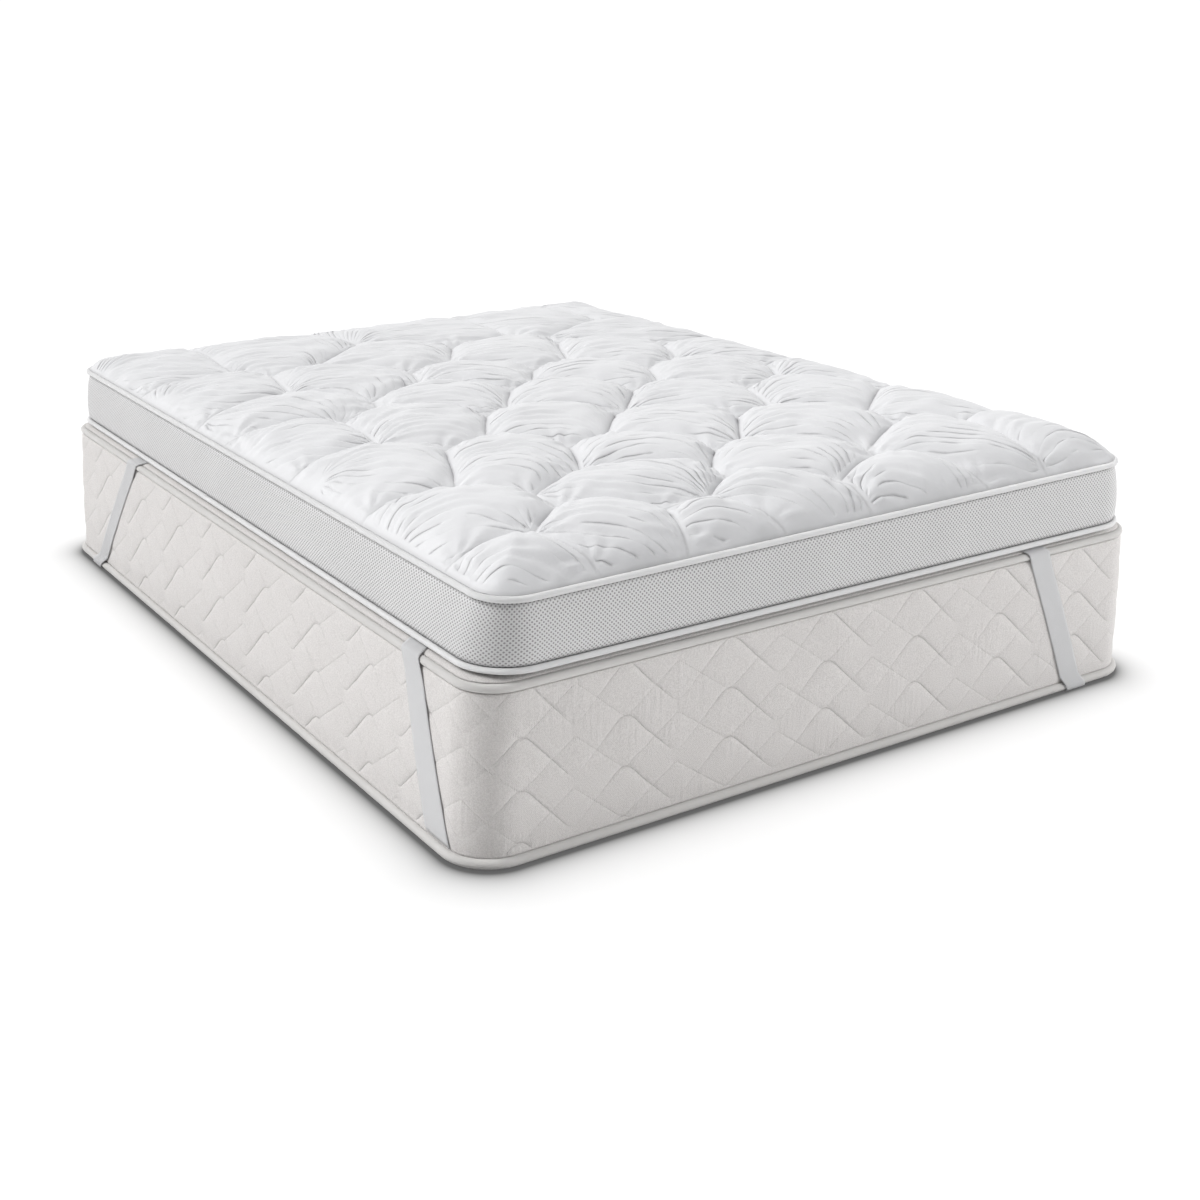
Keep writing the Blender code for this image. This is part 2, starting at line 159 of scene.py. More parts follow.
def feed(tree, socket, value):
    """Sets a socket to a number, a tuple or a link."""
    if isinstance(value, Link):
        tree.links.new(value.socket, socket)
    else:
        socket.default_value = value


class Finish:
    """A material: its shader, its coordinates, and one method that adds any other node."""

    def __init__(self, name, roughness, sheen=0.0):
        self.material = bpy.data.materials.new(name)
        self.material.use_nodes = True
        self.tree = self.material.node_tree
        self.shader = self.tree.nodes["Principled BSDF"]
        self.shader.inputs["Roughness"].default_value = roughness
        self.shader.inputs["Sheen Weight"].default_value = sheen
        self.shader.inputs["Specular IOR Level"].default_value = 0.35

    def node(self, kind, output=0, settings=None, **values):
        """Adds a node: settings are set first, then the sockets named in values."""
        node = self.tree.nodes.new(kind)
        for key, value in (settings or {}).items():
            setattr(node, key, value)
        for key, value in values.items():
            feed(self.tree, node.inputs[key.replace("_", " ")], value)
        return Link(self.tree, node.outputs[output])

    def place(self):
        return self.node("ShaderNodeTexCoord", "Object")

    def noise(self, scale, detail=2.0, vector=None, roughness=0.5):
        """Noise from 0 to 1; scale is in waves per metre."""
        where = vector or self.place()
        detail_and_scale = {"Scale": scale, "Detail": detail, "Roughness": roughness}
        return self.node("ShaderNodeTexNoise", "Fac", Vector=where, **detail_and_scale)

    def mixed(self, share, low, high):
        """A colour between two others."""
        node = self.tree.nodes.new("ShaderNodeMix")
        node.data_type = "RGBA"
        feed(self.tree, node.inputs["Factor"], share)
        for socket, colour in ((node.inputs[6], low), (node.inputs[7], high)):
            feed(self.tree, socket, colour if isinstance(colour, Link) else (*colour, 1.0))
        return Link(self.tree, node.outputs[2])

    def spot(self, x, y, z=0.0):
        """A place made of three numbers."""
        return self.node("ShaderNodeCombineXYZ", X=x, Y=y, Z=z)

    def kept(self, name):
        """A number kept at each point of the mesh."""
        return self.node("ShaderNodeAttribute", "Fac", {"attribute_name": name})

    def along_cloth(self, name="cloth"):
        """Distances along and across a piece, in metres, from its own map."""
        where = self.node("ShaderNodeUVMap", settings={"uv_map": name})
        split = self.tree.nodes.new("ShaderNodeSeparateXYZ")
        feed(self.tree, split.inputs[0], where)
        return Link(self.tree, split.outputs[0]), Link(self.tree, split.outputs[1])

    def done(self, colour, height=None, depth=0.001):
        """Joins the colour and the relief, whose full height is depth in metres."""
        feed(self.tree, self.shader.inputs["Base Color"], colour)
        if height is not None:
            bump = self.node("ShaderNodeBump", Height=height, Distance=depth, Strength=1.0)
            feed(self.tree, self.shader.inputs["Normal"], bump)
        return self.material


def white_floor():
    """A plain matt white floor with a contact shadow painted on it close round the bed."""
    finish = Finish("studio_floor", 0.9)
    split = finish.tree.nodes.new("ShaderNodeSeparateXYZ")
    feed(finish.tree, split.inputs[0], finish.place())
    flat_x, flat_y = (half - BED_CORNER for half in BED_HALF)
    over_x = (Link(finish.tree, split.outputs[0]).size() - flat_x).math("MAXIMUM", 0.0)
    over_y = (Link(finish.tree, split.outputs[1]).size() - flat_y).math("MAXIMUM", 0.0)
    away = ((over_x * over_x + over_y * over_y).root() - BED_CORNER).math("MAXIMUM", 0.0)
    # Painted contact shadow: the floor's colour darkens near the bed's footprint and fades with
    # distance from it
    shade = away.fading(NEAR_SHADE[0]) * NEAR_SHADE[1] + away.fading(WIDE_SHADE[0]) * WIDE_SHADE[1]
    white = finish.mixed(finish.noise(0.7), *FLOOR_WHITES)
    return finish.done(finish.mixed(shade, white, FLOOR_SHADOW_COLOUR))


floor_mesh = bpy.data.meshes.new("floor")
floor_corners = [(x * FLOOR_HALF, y * FLOOR_HALF, -FLOOR_DROP) for x, y in CORNER_SIGNS]
floor_mesh.from_pydata(floor_corners, [], [(0, 1, 2, 3)])
floor = bpy.data.objects.new("floor", floor_mesh)
bpy.context.scene.collection.objects.link(floor)
floor_mesh.materials.append(white_floor())

world = bpy.data.worlds.new("studio")
bpy.context.scene.world = world
world.use_nodes = True
sky = world.node_tree


def sky_share(axis, start, end):
    """How far a direction leans along an axis: 0 at start, 1 at end."""
    toward = sky.nodes.new("ShaderNodeTexCoord")
    lean = sky.nodes.new("ShaderNodeVectorMath")
    lean.operation = "DOT_PRODUCT"
    sky.links.new(toward.outputs["Generated"], lean.inputs[0])
    lean.inputs[1].default_value = axis
    share = sky.nodes.new("ShaderNodeMapRange")
    share.interpolation_type = "SMOOTHSTEP"
    share.inputs["From Min"].default_value = start
    share.inputs["From Max"].default_value = end
    sky.links.new(lean.outputs["Value"], share.inputs["Value"])
    return Link(sky, share.outputs[0])


side_sky = SKY_BEHIND + sky_share(FRONT_WAY, *FRONT_SPAN) * (SKY_IN_FRONT - SKY_BEHIND)
full_sky = side_sky + sky_share(OVERHEAD_WAY, *OVERHEAD_SPAN) * (SKY_OVERHEAD - side_sky)
sky.links.new(full_sky.socket, sky.nodes["Background"].inputs["Strength"])
sky.nodes["Background"].inputs["Color"].default_value = (1.0, 1.0, 1.0, 1.0)

# The key stands high behind on the left, the two soft boxes in front on the right. They light
# the bed alone; the floor has a lamp of its own, straight overhead and without shadows.
FILL_TRAVEL = Vector(FILL_AIM) - Vector(FILL_PLACE)
LIGHTS = (
    ("key_light", "SUN", KEY_POWER, (0.0, 0.0, 3.0), KEY_TRAVEL, "EXCLUDE"),
    ("fill_light", "AREA", FILL_POWER, FILL_PLACE, FILL_TRAVEL, "EXCLUDE"),
    ("front_light", "AREA", FRONT_POWER, FILL_PLACE, FILL_TRAVEL, "EXCLUDE"),
    ("floor_light", "SUN", FLOOR_LIGHT_POWER, (0.0, 0.0, 3.0), (0.0, 0.0, -1.0), "INCLUDE"),
)
for name, kind, power, place, travel, floor_link in LIGHTS:
    lamp_data = bpy.data.lights.new(name, kind)
    lamp_data.energy = power
    lamp_data.use_shadow = floor_link == "EXCLUDE"
    if kind == "SUN":
        lamp_data.angle = SUN_SPREAD
    else:
        lamp_data.size = FILL_SIZE
    lamp = bpy.data.objects.new(name, lamp_data)
    bpy.context.scene.collection.objects.link(lamp)
    lamp.location = place
    lamp.rotation_euler = Vector(travel).to_track_quat("-Z", "Y").to_euler()
    lamp.visible_camera = False
    linked = bpy.data.collections.new(name + ("_lit" if floor_link == "INCLUDE" else "_unlit"))
    linked.objects.link(floor)
    linked.collection_objects[0].light_linking.link_state = floor_link
    lamp.light_linking.receiver_collection = linked


# ---------------------------------------------------------------- mattress body
# A filled mattress in an off-white knitted cover. The side border is quilted in rows of
# rounded zigzags, and is sewn to the top and the underside under two rolled tapes.

MATTRESS_WIDTH = 1.600
MATTRESS_LENGTH = 2.000
MATTRESS_CORNER = 0.088
MATTRESS_TOP = 0.331
HEM_LIFT = 0.003
SIDE_BULGE = 0.004
SIDE_LOW_INSET = 0.004
SIDE_TOP_INSET = 0.010
LONG_SIDE_LEAN = 0.012
TAPE_BOTTOM_RADIUS = 0.009
TAPE_BOTTOM_Z = HEM_LIFT + TAPE_BOTTOM_RADIUS
TAPE_BOTTOM_INSET = 0.001
TAPE_TOP_RADIUS = 0.008
TAPE_TOP_Z = 0.3115
TAPE_TOP_INSET = 0.014
BODY_COLUMNS = 1300
SIDE_ROWS = 52
ROW_STEP = 0.092
ZIGZAG_PERIOD = 0.226
# A zigzag: how far its arms would fall in a whole turn, and how round its humps and troughs are
MAIN_LINE = (0.205, 0.100, 0.073)
CROSS_LINE = (0.158, 0.030, 0.030)
MAIN_LINE_DEPTH = 0.0022
# The main zigzag pulls hardest just past its humps, and on the left side before them: its even
# share, the turns that its peak lies past a hump, the change on the left side, and where that runs
PULL_EVEN = 0.62
PULL_SHIFT = 0.11
LEFT_SIDE_SHIFT = -0.31
LEFT_SIDE = (4.98, 5.08, 6.86, 6.96)
MAIN_LINE_RUN = 0.0085
CROSS_LINE_DEPTH = 0.0010
CROSS_LINE_RUN = 0.0075
CROSS_LINE_DROP = 0.018
# Where straps press the cover flat: distance round at top and floor, width at top and floor
PRESSED = (
    (6.740, 6.887, 0.056, 0.080),
    (1.143, 1.377, 0.056, 0.056),
    (1.833, 1.609, 0.056, 0.056),
    (4.676, 4.902, 0.056, 0.056),
    (5.540, 5.110, 0.056, 0.056),
    (3.797, 3.571, 0.056, 0.056),
    (3.115, 3.340, 0.056, 0.056),
)
PRESSED_OVER = 0.003
PRESSED_FADE = 0.005
# The part of the side that is quilted, and how soon the quilting fades out at its ends
QUILTED = (0.024, 0.300)
STITCHED = (0.020, 0.310)
QUILTED_FADE = 0.012
SIDE_SPAN = (0.0245, 0.2985)
# Rings of the cover under and over its side: (inset, z)
UNDERSIDE = ((0.150, 0.0), (0.140, HEM_LIFT))
SIDE_END = (0.0101, 0.3018)
TOP_EDGE = (
    (0.0186, 0.3216), (0.0215, 0.3236), (0.0260, 0.3252),
    (0.0370, 0.3274), (0.0550, 0.3290), (0.0800, 0.3308),
)
TAPE_CREASE = 0.0004
KNIT_SHADES = ((0.562, 0.541, 0.529), (0.733, 0.711, 0.699))
# Colour of the shade painted into the sewn creases
KNIT_CREASE_SHADE = (0.47, 0.455, 0.44)
# Relief of the knit: its stitches, its grain, its puckers and its sewn lines
STITCH_DEPTH = 0.00020
GRAIN_DEPTH = 0.0012
PUCKER_DEPTH = 0.0022
SEWN_DEPTH = 0.0026
# How the zigzags run round the side: distance round, zigzags so far, height of a hump
ZIGZAG_RUN = (
    (-0.4989, -3.451, 0.248),
    (0.2500, 0.206, 0.2115),
    (1.4240, 5.459, 0.2115),
    (5.0866, 21.144, 0.248),
    (6.5500, 27.549, 0.248),
    (7.2989, 31.206, 0.2115),
)


def round_lengths():
    """Lengths of the four sides and corners of the mattress, from the foot's left end."""
    flat_x = MATTRESS_WIDTH - 2 * MATTRESS_CORNER
    flat_y = MATTRESS_LENGTH - 2 * MATTRESS_CORNER
    arc = MATTRESS_CORNER * math.pi / 2
    return np.array([flat_x, arc, flat_y, arc, flat_x, arc, flat_y, arc])


ROUND_LENGTH = float(round_lengths().sum())


def around(distance, half_x, half_y, radius):
    """Points and outward directions round a rounded rectangle, at distances round the mattress."""
    ends = np.cumsum(round_lengths())
    run = np.mod(distance, ROUND_LENGTH)
    leg = np.minimum(np.searchsorted(ends, run, side="right"), 7)
    share = (run - (ends - round_lengths())[leg]) / round_lengths()[leg]
    side = leg // 2
    turn = (side + (leg % 2) * share) * math.pi / 2 - math.pi / 2
    out_x, out_y = np.cos(turn), np.sin(turn)
    flat_x, flat_y = half_x - radius, half_y - radius
    corner_x = np.array([flat_x, flat_x, -flat_x, -flat_x])[side]
    corner_y = np.array([-flat_y, flat_y, flat_y, -flat_y])[side]
    start_x = np.array([-flat_x, flat_x, flat_x, -flat_x])[side]
    start_y = np.array([-flat_y, -flat_y, flat_y, flat_y])[side]
    on_side = leg % 2 == 0
    x = np.where(on_side, start_x + (corner_x - start_x) * share, corner_x) + radius * out_x
    y = np.where(on_side, start_y + (corner_y - start_y) * share, corner_y) + radius * out_y
    return x, y, out_x, out_y


def side_share(z):
    """Share of the mattress's side, from the lower tape to the upper."""
    return (z - TAPE_BOTTOM_Z) / (TAPE_TOP_Z - TAPE_BOTTOM_Z)


def mattress_ring(distance, inset, z):
    """Points round the mattress at an inset from its nominal side; both may vary round it."""
    lean = LONG_SIDE_LEAN * np.clip(side_share(z), 0.0, 1.0)
    half_x = MATTRESS_WIDTH / 2 - lean
    x, y, out_x, out_y = around(distance, half_x, MATTRESS_LENGTH / 2, MATTRESS_CORNER)
    return np.stack([x - inset * out_x, y - inset * out_y, z + 0 * x], axis=-1)


def side_inset(z):
    """Inset of the mattress's side: it bulges a little between its two tapes."""
    share = np.clip(side_share(z), 0.0, 1.0)
    bulge = SIDE_BULGE * np.sqrt(np.sin(math.pi * share))
    return SIDE_LOW_INSET + (SIDE_TOP_INSET - SIDE_LOW_INSET) * share - bulge


def rounded_off(off, run):
    """Distance from a corner of the zigzag, rounded off within a run of it."""
    return np.minimum(off, run) ** 2 / (2 * run) + np.maximum(off - run, 0.0)


def zigzag(turns, line):
    """Height of a zigzag under its humps: straight arms between rounded humps and troughs."""
    fall, hump, trough = line
    off_hump = np.abs(turns - np.round(turns))
    off_trough = 0.5 - off_hump
    level = rounded_off(off_trough, trough) + trough / 2 - off_trough - rounded_off(off_hump, hump)
    return fall * level


def line_distance(turns, z, hump_z, line):
    """Distance from the nearest row of a zigzag."""
    rows = (z - hump_z - zigzag(turns, line)) / ROW_STEP
    climb = (zigzag(turns + 0.01, line) - zigzag(turns - 0.01, line)) / (0.02 * ZIGZAG_PERIOD)
    return np.abs(rows - np.round(rows)) * ROW_STEP / np.hypot(climb, 1.0)


def pressed(distance, z):
    """1 where a strap lies over the cover, 0 elsewhere."""
    down = (MATTRESS_TOP - z) / MATTRESS_TOP
    share = np.zeros_like(distance)
    for top, floor, top_width, floor_width in PRESSED:
        middle = top + (floor - top) * down
        half = (top_width + (floor_width - top_width) * down) / 2
        inside = half + PRESSED_OVER - np.abs(distance - middle)
        share = np.maximum(share, np.clip(inside / PRESSED_FADE, 0.0, 1.0))
    return share


def border_sink(distance, z):
    """How far the quilting draws the side in: deep at the main zigzags, less at the others."""
    table = np.array(ZIGZAG_RUN)
    turns = np.interp(distance, table[:, 0], table[:, 1])
    hump_z = np.interp(distance, table[:, 0], table[:, 2])
    main = np.exp(-line_distance(turns, z, hump_z, MAIN_LINE) / MAIN_LINE_RUN)
    on_left = np.interp(np.mod(distance, ROUND_LENGTH), LEFT_SIDE, (0.0, 1.0, 1.0, 0.0))
    shift = PULL_SHIFT + LEFT_SIDE_SHIFT * on_left
    main *= PULL_EVEN + (1 - PULL_EVEN) * np.cos(2 * math.pi * (turns - shift))
    cross_gap = line_distance(turns + 0.5, z, hump_z - CROSS_LINE_DROP, CROSS_LINE)
    cross = np.exp(-cross_gap / CROSS_LINE_RUN)
    ends = np.clip(np.minimum(z - QUILTED[0], QUILTED[1] - z) / QUILTED_FADE, 0.0, 1.0)
    sink = (MAIN_LINE_DEPTH * main + CROSS_LINE_DEPTH * cross) * ends
    return sink * (1 - pressed(distance, z))


def in_scene(name, mesh):
    """A piece made of a mesh, its faces turned outwards and shaded smooth."""
    shaped = bmesh.new()
    shaped.from_mesh(mesh)
    bmesh.ops.recalc_face_normals(shaped, faces=shaped.faces)
    shaped.to_mesh(mesh)
    shaped.free()
    mesh.shade_smooth()
    piece = bpy.data.objects.new(name, mesh)
    bpy.context.scene.collection.objects.link(piece)
    return piece


def loft(name, rows, map_across, map_along, caps=False, hoop=False):
    """A surface over rows of points that go once round. hoop joins the last row to the first."""
    rows = np.asarray(rows, dtype=float)
    count, columns = rows.shape[:2]
    index = np.arange(count * columns).reshape(count, columns)
    if hoop:
        index = np.vstack([index, index[:1]])
    right = np.roll(index, -1, axis=1)
    quads = np.stack([index[:-1], right[:-1], right[1:], index[1:]], axis=-1).reshape(-1, 4)
    faces = quads.tolist()
    if caps:
        faces += [index[0][::-1].tolist(), index[-1].tolist()]
    mesh = bpy.data.meshes.new(name)
    mesh.from_pydata(rows.reshape(-1, 3).tolist(), [], faces)
    steps = len(index) - 1
    u = np.broadcast_to(map_along[None, :-1], (steps, columns))
    u_next = np.broadcast_to(map_along[None, 1:], (steps, columns))
    v = np.broadcast_to(map_across[:steps, None], (steps, columns))
    v_next = np.broadcast_to(map_across[1:steps + 1, None], (steps, columns))
    corners_map = np.stack([u, v, u_next, v, u_next, v_next, u, v_next], axis=-1).reshape(-1)
    layer = mesh.uv_layers.new(name="cloth")
    flat = np.zeros(len(mesh.loops) * 2)
    flat[:len(corners_map)] = corners_map
    layer.data.foreach_set("uv", flat)
    return in_scene(name, mesh)


def tape_crease(inset, z, radius, first, last, steps):
    """Points of the cover where it is sewn in behind a tape, from one angle to another."""
    angles = np.radians(np.linspace(first, last, steps))
    reach = radius + TAPE_CREASE
    return [(inset - reach * math.cos(a), z + reach * math.sin(a)) for a in angles]


def knit_finish():
    """Stippled off-white knit, drawn down along the sewn zigzags, with shade painted into their
    creases.
    """
    finish = Finish("mattress_knit", 0.85, sheen=0.15)
    along, up = finish.along_cloth()
    turns, rise = finish.along_cloth("quilt")
    wobble = finish.noise(60.0, 3.0)
    stitch = ((along + wobble * 0.004) * 2100.0).sine() * ((up + wobble * 0.003) * 1650.0).sine()
    grain = finish.noise(420.0, 2.0)

    def rounded(off, run):
        """Distance from a corner, rounded off within a run of it."""
        near = off.math("MINIMUM", run)
        return near * near / (2 * run) + (off - run).math("MAXIMUM", 0.0)

    def sewn(shift, drop, line):
        """Distance from the nearest row of stitching, in metres."""
        fall, hump, trough = line
        off_hump = (turns + shift).off_whole()
        off_trough = 0.5 - off_hump
        level = rounded(off_trough, trough) + trough / 2 - off_trough - rounded(off_hump, hump)
        slope = 1.0 - off_hump.clip(0.0, hump) * off_trough.clip(0.0, trough) * 0.22
        return ((rise + drop - level * fall) / ROW_STEP).off_whole() * ROW_STEP * slope

    main = sewn(0.0, 0.0, MAIN_LINE)
    cross = sewn(0.5, CROSS_LINE_DROP, CROSS_LINE)
    between = (up - STITCHED[0]).clip(0.0, QUILTED_FADE) * (STITCHED[1] - up).clip(0.0, QUILTED_FADE)
    dashes = (along * (2 * math.pi / 0.0042)).sine() * 0.5 + 0.5
    past_left = along.clip(LEFT_SIDE[2], LEFT_SIDE[3])
    on_left = along.clip(LEFT_SIDE[0], LEFT_SIDE[1]) * (1.0 - past_left)
    shift = on_left * LEFT_SIDE_SHIFT + PULL_SHIFT
    pull_share = ((turns - shift + 0.25) * (2 * math.pi)).sine() * (1 - PULL_EVEN) + PULL_EVEN
    dent = main.fading(0.0024) * 0.95 * pull_share + cross.fading(0.0018) * (0.20 + dashes * 0.25)
    dent = dent * between
    streaks = finish.noise(1.0, 3.0, vector=finish.spot(along * 95.0, up * 14.0))
    puckers = streaks * finish.noise(7.0).clip(0.45, 0.62)
    height = stitch * STITCH_DEPTH + grain * GRAIN_DEPTH + puckers * PUCKER_DEPTH - dent * SEWN_DEPTH
    tone = finish.noise(5.0, 3.0) * 0.24 + grain.clip(0.34, 0.66) * 0.56 + stitch * 0.12 + 0.10
    cloth = finish.mixed(tone, *KNIT_SHADES)
    # Painted shade: the cloth is darkened a little where the sewn lines draw it in
    colour = finish.mixed(dent.clip(0.15, 1.3) * 0.07, cloth, KNIT_CREASE_SHADE)
    return finish.done(colour, height, 1.0)


distance = np.linspace(0.0, ROUND_LENGTH, BODY_COLUMNS, endpoint=False)
side_z = np.linspace(*SIDE_SPAN, SIDE_ROWS)
body_profile = list(UNDERSIDE)
body_profile += tape_crease(TAPE_BOTTOM_INSET, TAPE_BOTTOM_Z, TAPE_BOTTOM_RADIUS, 245, 98, 7)
body_rows = [mattress_ring(distance, inset, z) for inset, z in body_profile]
for z in side_z:
    body_rows.append(mattress_ring(distance, side_inset(z) + border_sink(distance, z), z))
upper_profile = [SIDE_END]
upper_profile += tape_crease(TAPE_TOP_INSET, TAPE_TOP_Z, TAPE_TOP_RADIUS, -68, -252, 7)
upper_profile += TOP_EDGE
body_rows += [mattress_ring(distance, inset, z) for inset, z in upper_profile]
body_rows = np.array(body_rows)
step_up = np.linalg.norm(np.diff(body_rows[:, 0], axis=0), axis=1)
map_up = np.concatenate([[0.0], np.cumsum(step_up)])
map_up += side_z[0] - map_up[len(body_profile)]
map_round = np.append(distance, ROUND_LENGTH)
mattress = loft("mattress_cover", body_rows, map_up, map_round, caps=True)
quilt = mattress.data.uv_layers.new(name="quilt")
cloth_map = np.zeros(len(mattress.data.loops) * 2)
mattress.data.uv_layers["cloth"].data.foreach_get("uv", cloth_map)
run_table = np.array(ZIGZAG_RUN)
point_of = np.zeros(len(mattress.data.loops), dtype=int)
mattress.data.loops.foreach_get("vertex_index", point_of)
point_z = body_rows[:, :, 2].reshape(-1)[point_of]
quilt_map = np.stack([
    np.interp(cloth_map[0::2], run_table[:, 0], run_table[:, 1]),
    point_z - np.interp(cloth_map[0::2], run_table[:, 0], run_table[:, 2]),
], axis=-1)
quilt.data.foreach_set("uv", quilt_map.reshape(-1))
mattress.data.materials.append(knit_finish())
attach(mattress, "root")
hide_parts("mattress_body")


# ---------------------------------------------------------------- mattress tapes
# Woven tape folded over each edge of the mattress and rolled round by the stitching.

TAPE_SIDES = 14
TAPE_COLUMNS = 900
TAPE_SHADES = ((0.620, 0.606, 0.590), (0.700, 0.688, 0.675))


def tape_finish():
    """Off-white twill tape with fine slanted ribs."""
    finish = Finish("mattress_tape", 0.8, sheen=0.1)
    along, across = finish.along_cloth()
    ribs = ((along + across) * 2600.0).sine()
    patch = finish.noise(9.0, 3.0)
    colour = finish.mixed(patch, *TAPE_SHADES)
    return finish.done(colour, ribs * 0.4 + finish.noise(260.0) * 0.8, 0.0006)


def ripple(distance, seed, size, waves):
    """A closed, uneven ripple round the bed."""
    dice = np.random.default_rng(seed)
    total = np.zeros_like(distance)
    for wave in dice.integers(waves[0], waves[1], 14):
        total += np.sin(2 * math.pi * (wave * distance / ROUND_LENGTH + dice.random()))
    return size * total / math.sqrt(14)


tape_cloth = tape_finish()
tape_distance = np.linspace(0.0, ROUND_LENGTH, TAPE_COLUMNS, endpoint=False)
tape_map = np.append(tape_distance, ROUND_LENGTH)
TAPES = (
    ("mattress_tape_bottom", TAPE_BOTTOM_RADIUS, TAPE_BOTTOM_INSET, TAPE_BOTTOM_Z, 5),
    ("mattress_tape_top", TAPE_TOP_RADIUS, TAPE_TOP_INSET, TAPE_TOP_Z, 6),
)
for node, radius, inset, z, seed in TAPES:
    tape_rows = []
    for k in range(TAPE_SIDES):
        angle = 2 * math.pi * k / TAPE_SIDES
        reach = radius * (1 - 0.02 * (1 - math.cos(3 * angle)))
        reach = reach - np.abs(ripple(tape_distance, seed, 0.0002, (40, 190)))
        ring = mattress_ring(tape_distance, inset - reach * math.cos(angle), z)
        ring[:, 2] += reach * math.sin(angle)
        tape_rows.append(ring)
    tape_across = 2 * math.pi * radius * np.arange(TAPE_SIDES + 1) / TAPE_SIDES
    tape = loft(node.replace("mattress", "rolled"), tape_rows, tape_across, tape_map, hoop=True)
    tape.data.materials.append(tape_cloth)
    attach(tape, "root")
    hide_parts(node)


# ---------------------------------------------------------------- quilted pad
# The topper's filled pad: white microfibre gathered over deep fibre fill and sewn down along
# seams between the puffs. The gathers lie as nested arcs that meet in the tucks.

TOPPER_BOTTOM = MATTRESS_TOP + 0.0003
SEAM_BOTTOM_INSET = (0.040, 0.012)
SEAM_BOTTOM_CORNER = 0.092
SEAM_TOP_INSET = (0.066, 0.011)
SEAM_TOP_CORNER = 0.070
PIPING_BOTTOM_RADIUS = 0.0055
PIPING_TOP_RADIUS = 0.006
PIPING_PROUD = 0.003
PIPING_BOTTOM_Z = TOPPER_BOTTOM + PIPING_BOTTOM_RADIUS
PIPING_TOP_Z = 0.4555
RIGHT_RISE = 0.011
HEAD_DROP = 0.005
TOP_SHIFT = 0.009
BAND_LOW = PIPING_BOTTOM_Z + PIPING_BOTTOM_RADIUS + 0.0003
BAND_HIGH = PIPING_TOP_Z - PIPING_TOP_RADIUS - 0.0003
BAND_THICKNESS = 0.002
BAND_BULGE = 0.007
PANEL_LIP = 0.0060
CROWN_RISE = 0.030
CORNER_DIP = 0.45
CORNER_DIP_RUN = 0.13
CROWN_RUN = 0.034
PUFF_RISE = 0.029
PUFF_FAR_RUN = 0.014
PUFF_NEAR_RUN = 0.034
PUFF_EDGE_RUN = 0.095
PUFF_LEAN = 0.30
PUFF_SHIFT = 0.030
FAR_WAY = (0.60, 0.80)
# Grid points move onto the nearest seam from up to this far
SNAP_REACH = 0.0036
EDGE_BLEND = 0.012
FILL_TAPER = 0.65
PANEL_CORNER_STEPS = 14
PANEL_STEPS_X = 230
PANEL_STEPS_Y = 316
# Puffs in diagonal rows: (distance from the mattress's left side, distance from its foot)
PUFF_ROWS = (
    ((0.15, 1.79),),
    ((0.19, 1.42), (0.49, 1.76)),
    ((0.16, 0.93), (0.26, 1.18), (0.47, 1.35), (0.69, 1.55), (0.90, 1.79)),
    ((0.20, 0.66), (0.41, 0.90), (0.60, 1.09), (0.75, 1.24), (0.93, 1.40), (1.25, 1.79)),
    ((0.15, 0.30), (0.43, 0.55), (0.64, 0.76), (0.80, 0.96), (0.96, 1.11), (1.15, 1.27), (1.38, 1.50)),
    ((0.14, 0.05), (0.54, 0.30), (0.63, 0.45), (0.83, 0.60), (1.02, 0.78), (1.23, 0.97), (1.40, 1.14)),
    ((0.36, 0.09), (0.86, 0.27), (1.04, 0.44), (1.28, 0.67), (1.46, 0.83)),
    ((0.53, 0.03), (0.71, 0.09), (1.20, 0.18), (1.44, 0.48)),
    ((0.98, 0.05), (1.44, 0.15), (1.50, 1.79)),
)
ARC_STEP = 0.031
ARC_DEPTH = 0.0052
# Where a puff's arcs start: the tuck within reach that lies most to its side and toward the foot
ARC_REACH = 0.30
ARC_LOW = 0.7
ARC_START = 0.10
ARC_TURN_LEAST = 0.05
CROWDING_LEAST = 0.45
TUCK_SIZE = 0.004
TUCK_GRID = 0.008
TUCK_MERGE = 0.022
TUCK_REACH = 0.042
TUCK_FOLDS = 8
TUCK_DEPTH = 0.8
TUCK_PIT = 0.002
LUMP_RISE = 0.0040
LUMP_EDGE_RUN = 0.03
SEAM_WANDER = 0.006
# How the pad is fitted in behind its band and pipings
PANEL_START_DEG = 68
PANEL_TUCK = 0.0004
PIPING_GAP = 0.0006
BAND_GAP = 0.0012
SHARP_DEG = 50
PANEL_SHADES = ((0.708, 0.710, 0.724), (0.748, 0.750, 0.764))
# Colour of the shade painted into the creases and along the seams
PANEL_CREASE_SHADE = (0.55, 0.55, 0.56)
CREASE_DEPTH = 0.0046
# Strength of the shade painted into the gathers' creases
CREASE_SHADE = 0.30
CRUMPLE_DEPTH = 0.0018
# The shade painted along the seams: how far from a seam it reaches, and its strength
NEAR_SEAM = (0.0050, 0.62)
WIDE_SEAM = (0.014, 0.22)


def seam_path(share, offset):
    """Half width, half length and corner of the topper at a share of its side's height."""
    inset_x = SEAM_BOTTOM_INSET[0] + (SEAM_TOP_INSET[0] - SEAM_BOTTOM_INSET[0]) * share
    inset_y = SEAM_BOTTOM_INSET[1] + (SEAM_TOP_INSET[1] - SEAM_BOTTOM_INSET[1]) * share
    radius = SEAM_BOTTOM_CORNER + (SEAM_TOP_CORNER - SEAM_BOTTOM_CORNER) * share
    half_x, half_y = MATTRESS_WIDTH / 2 - inset_x, MATTRESS_LENGTH / 2 - inset_y
    return half_x + offset, half_y + offset, radius + offset


def topper_lift(x, y):
    """The top seam is higher on the right and lower at the head."""
    return RIGHT_RISE * (x / MATTRESS_WIDTH + 0.5) - HEAD_DROP * (y / MATTRESS_LENGTH + 0.5)


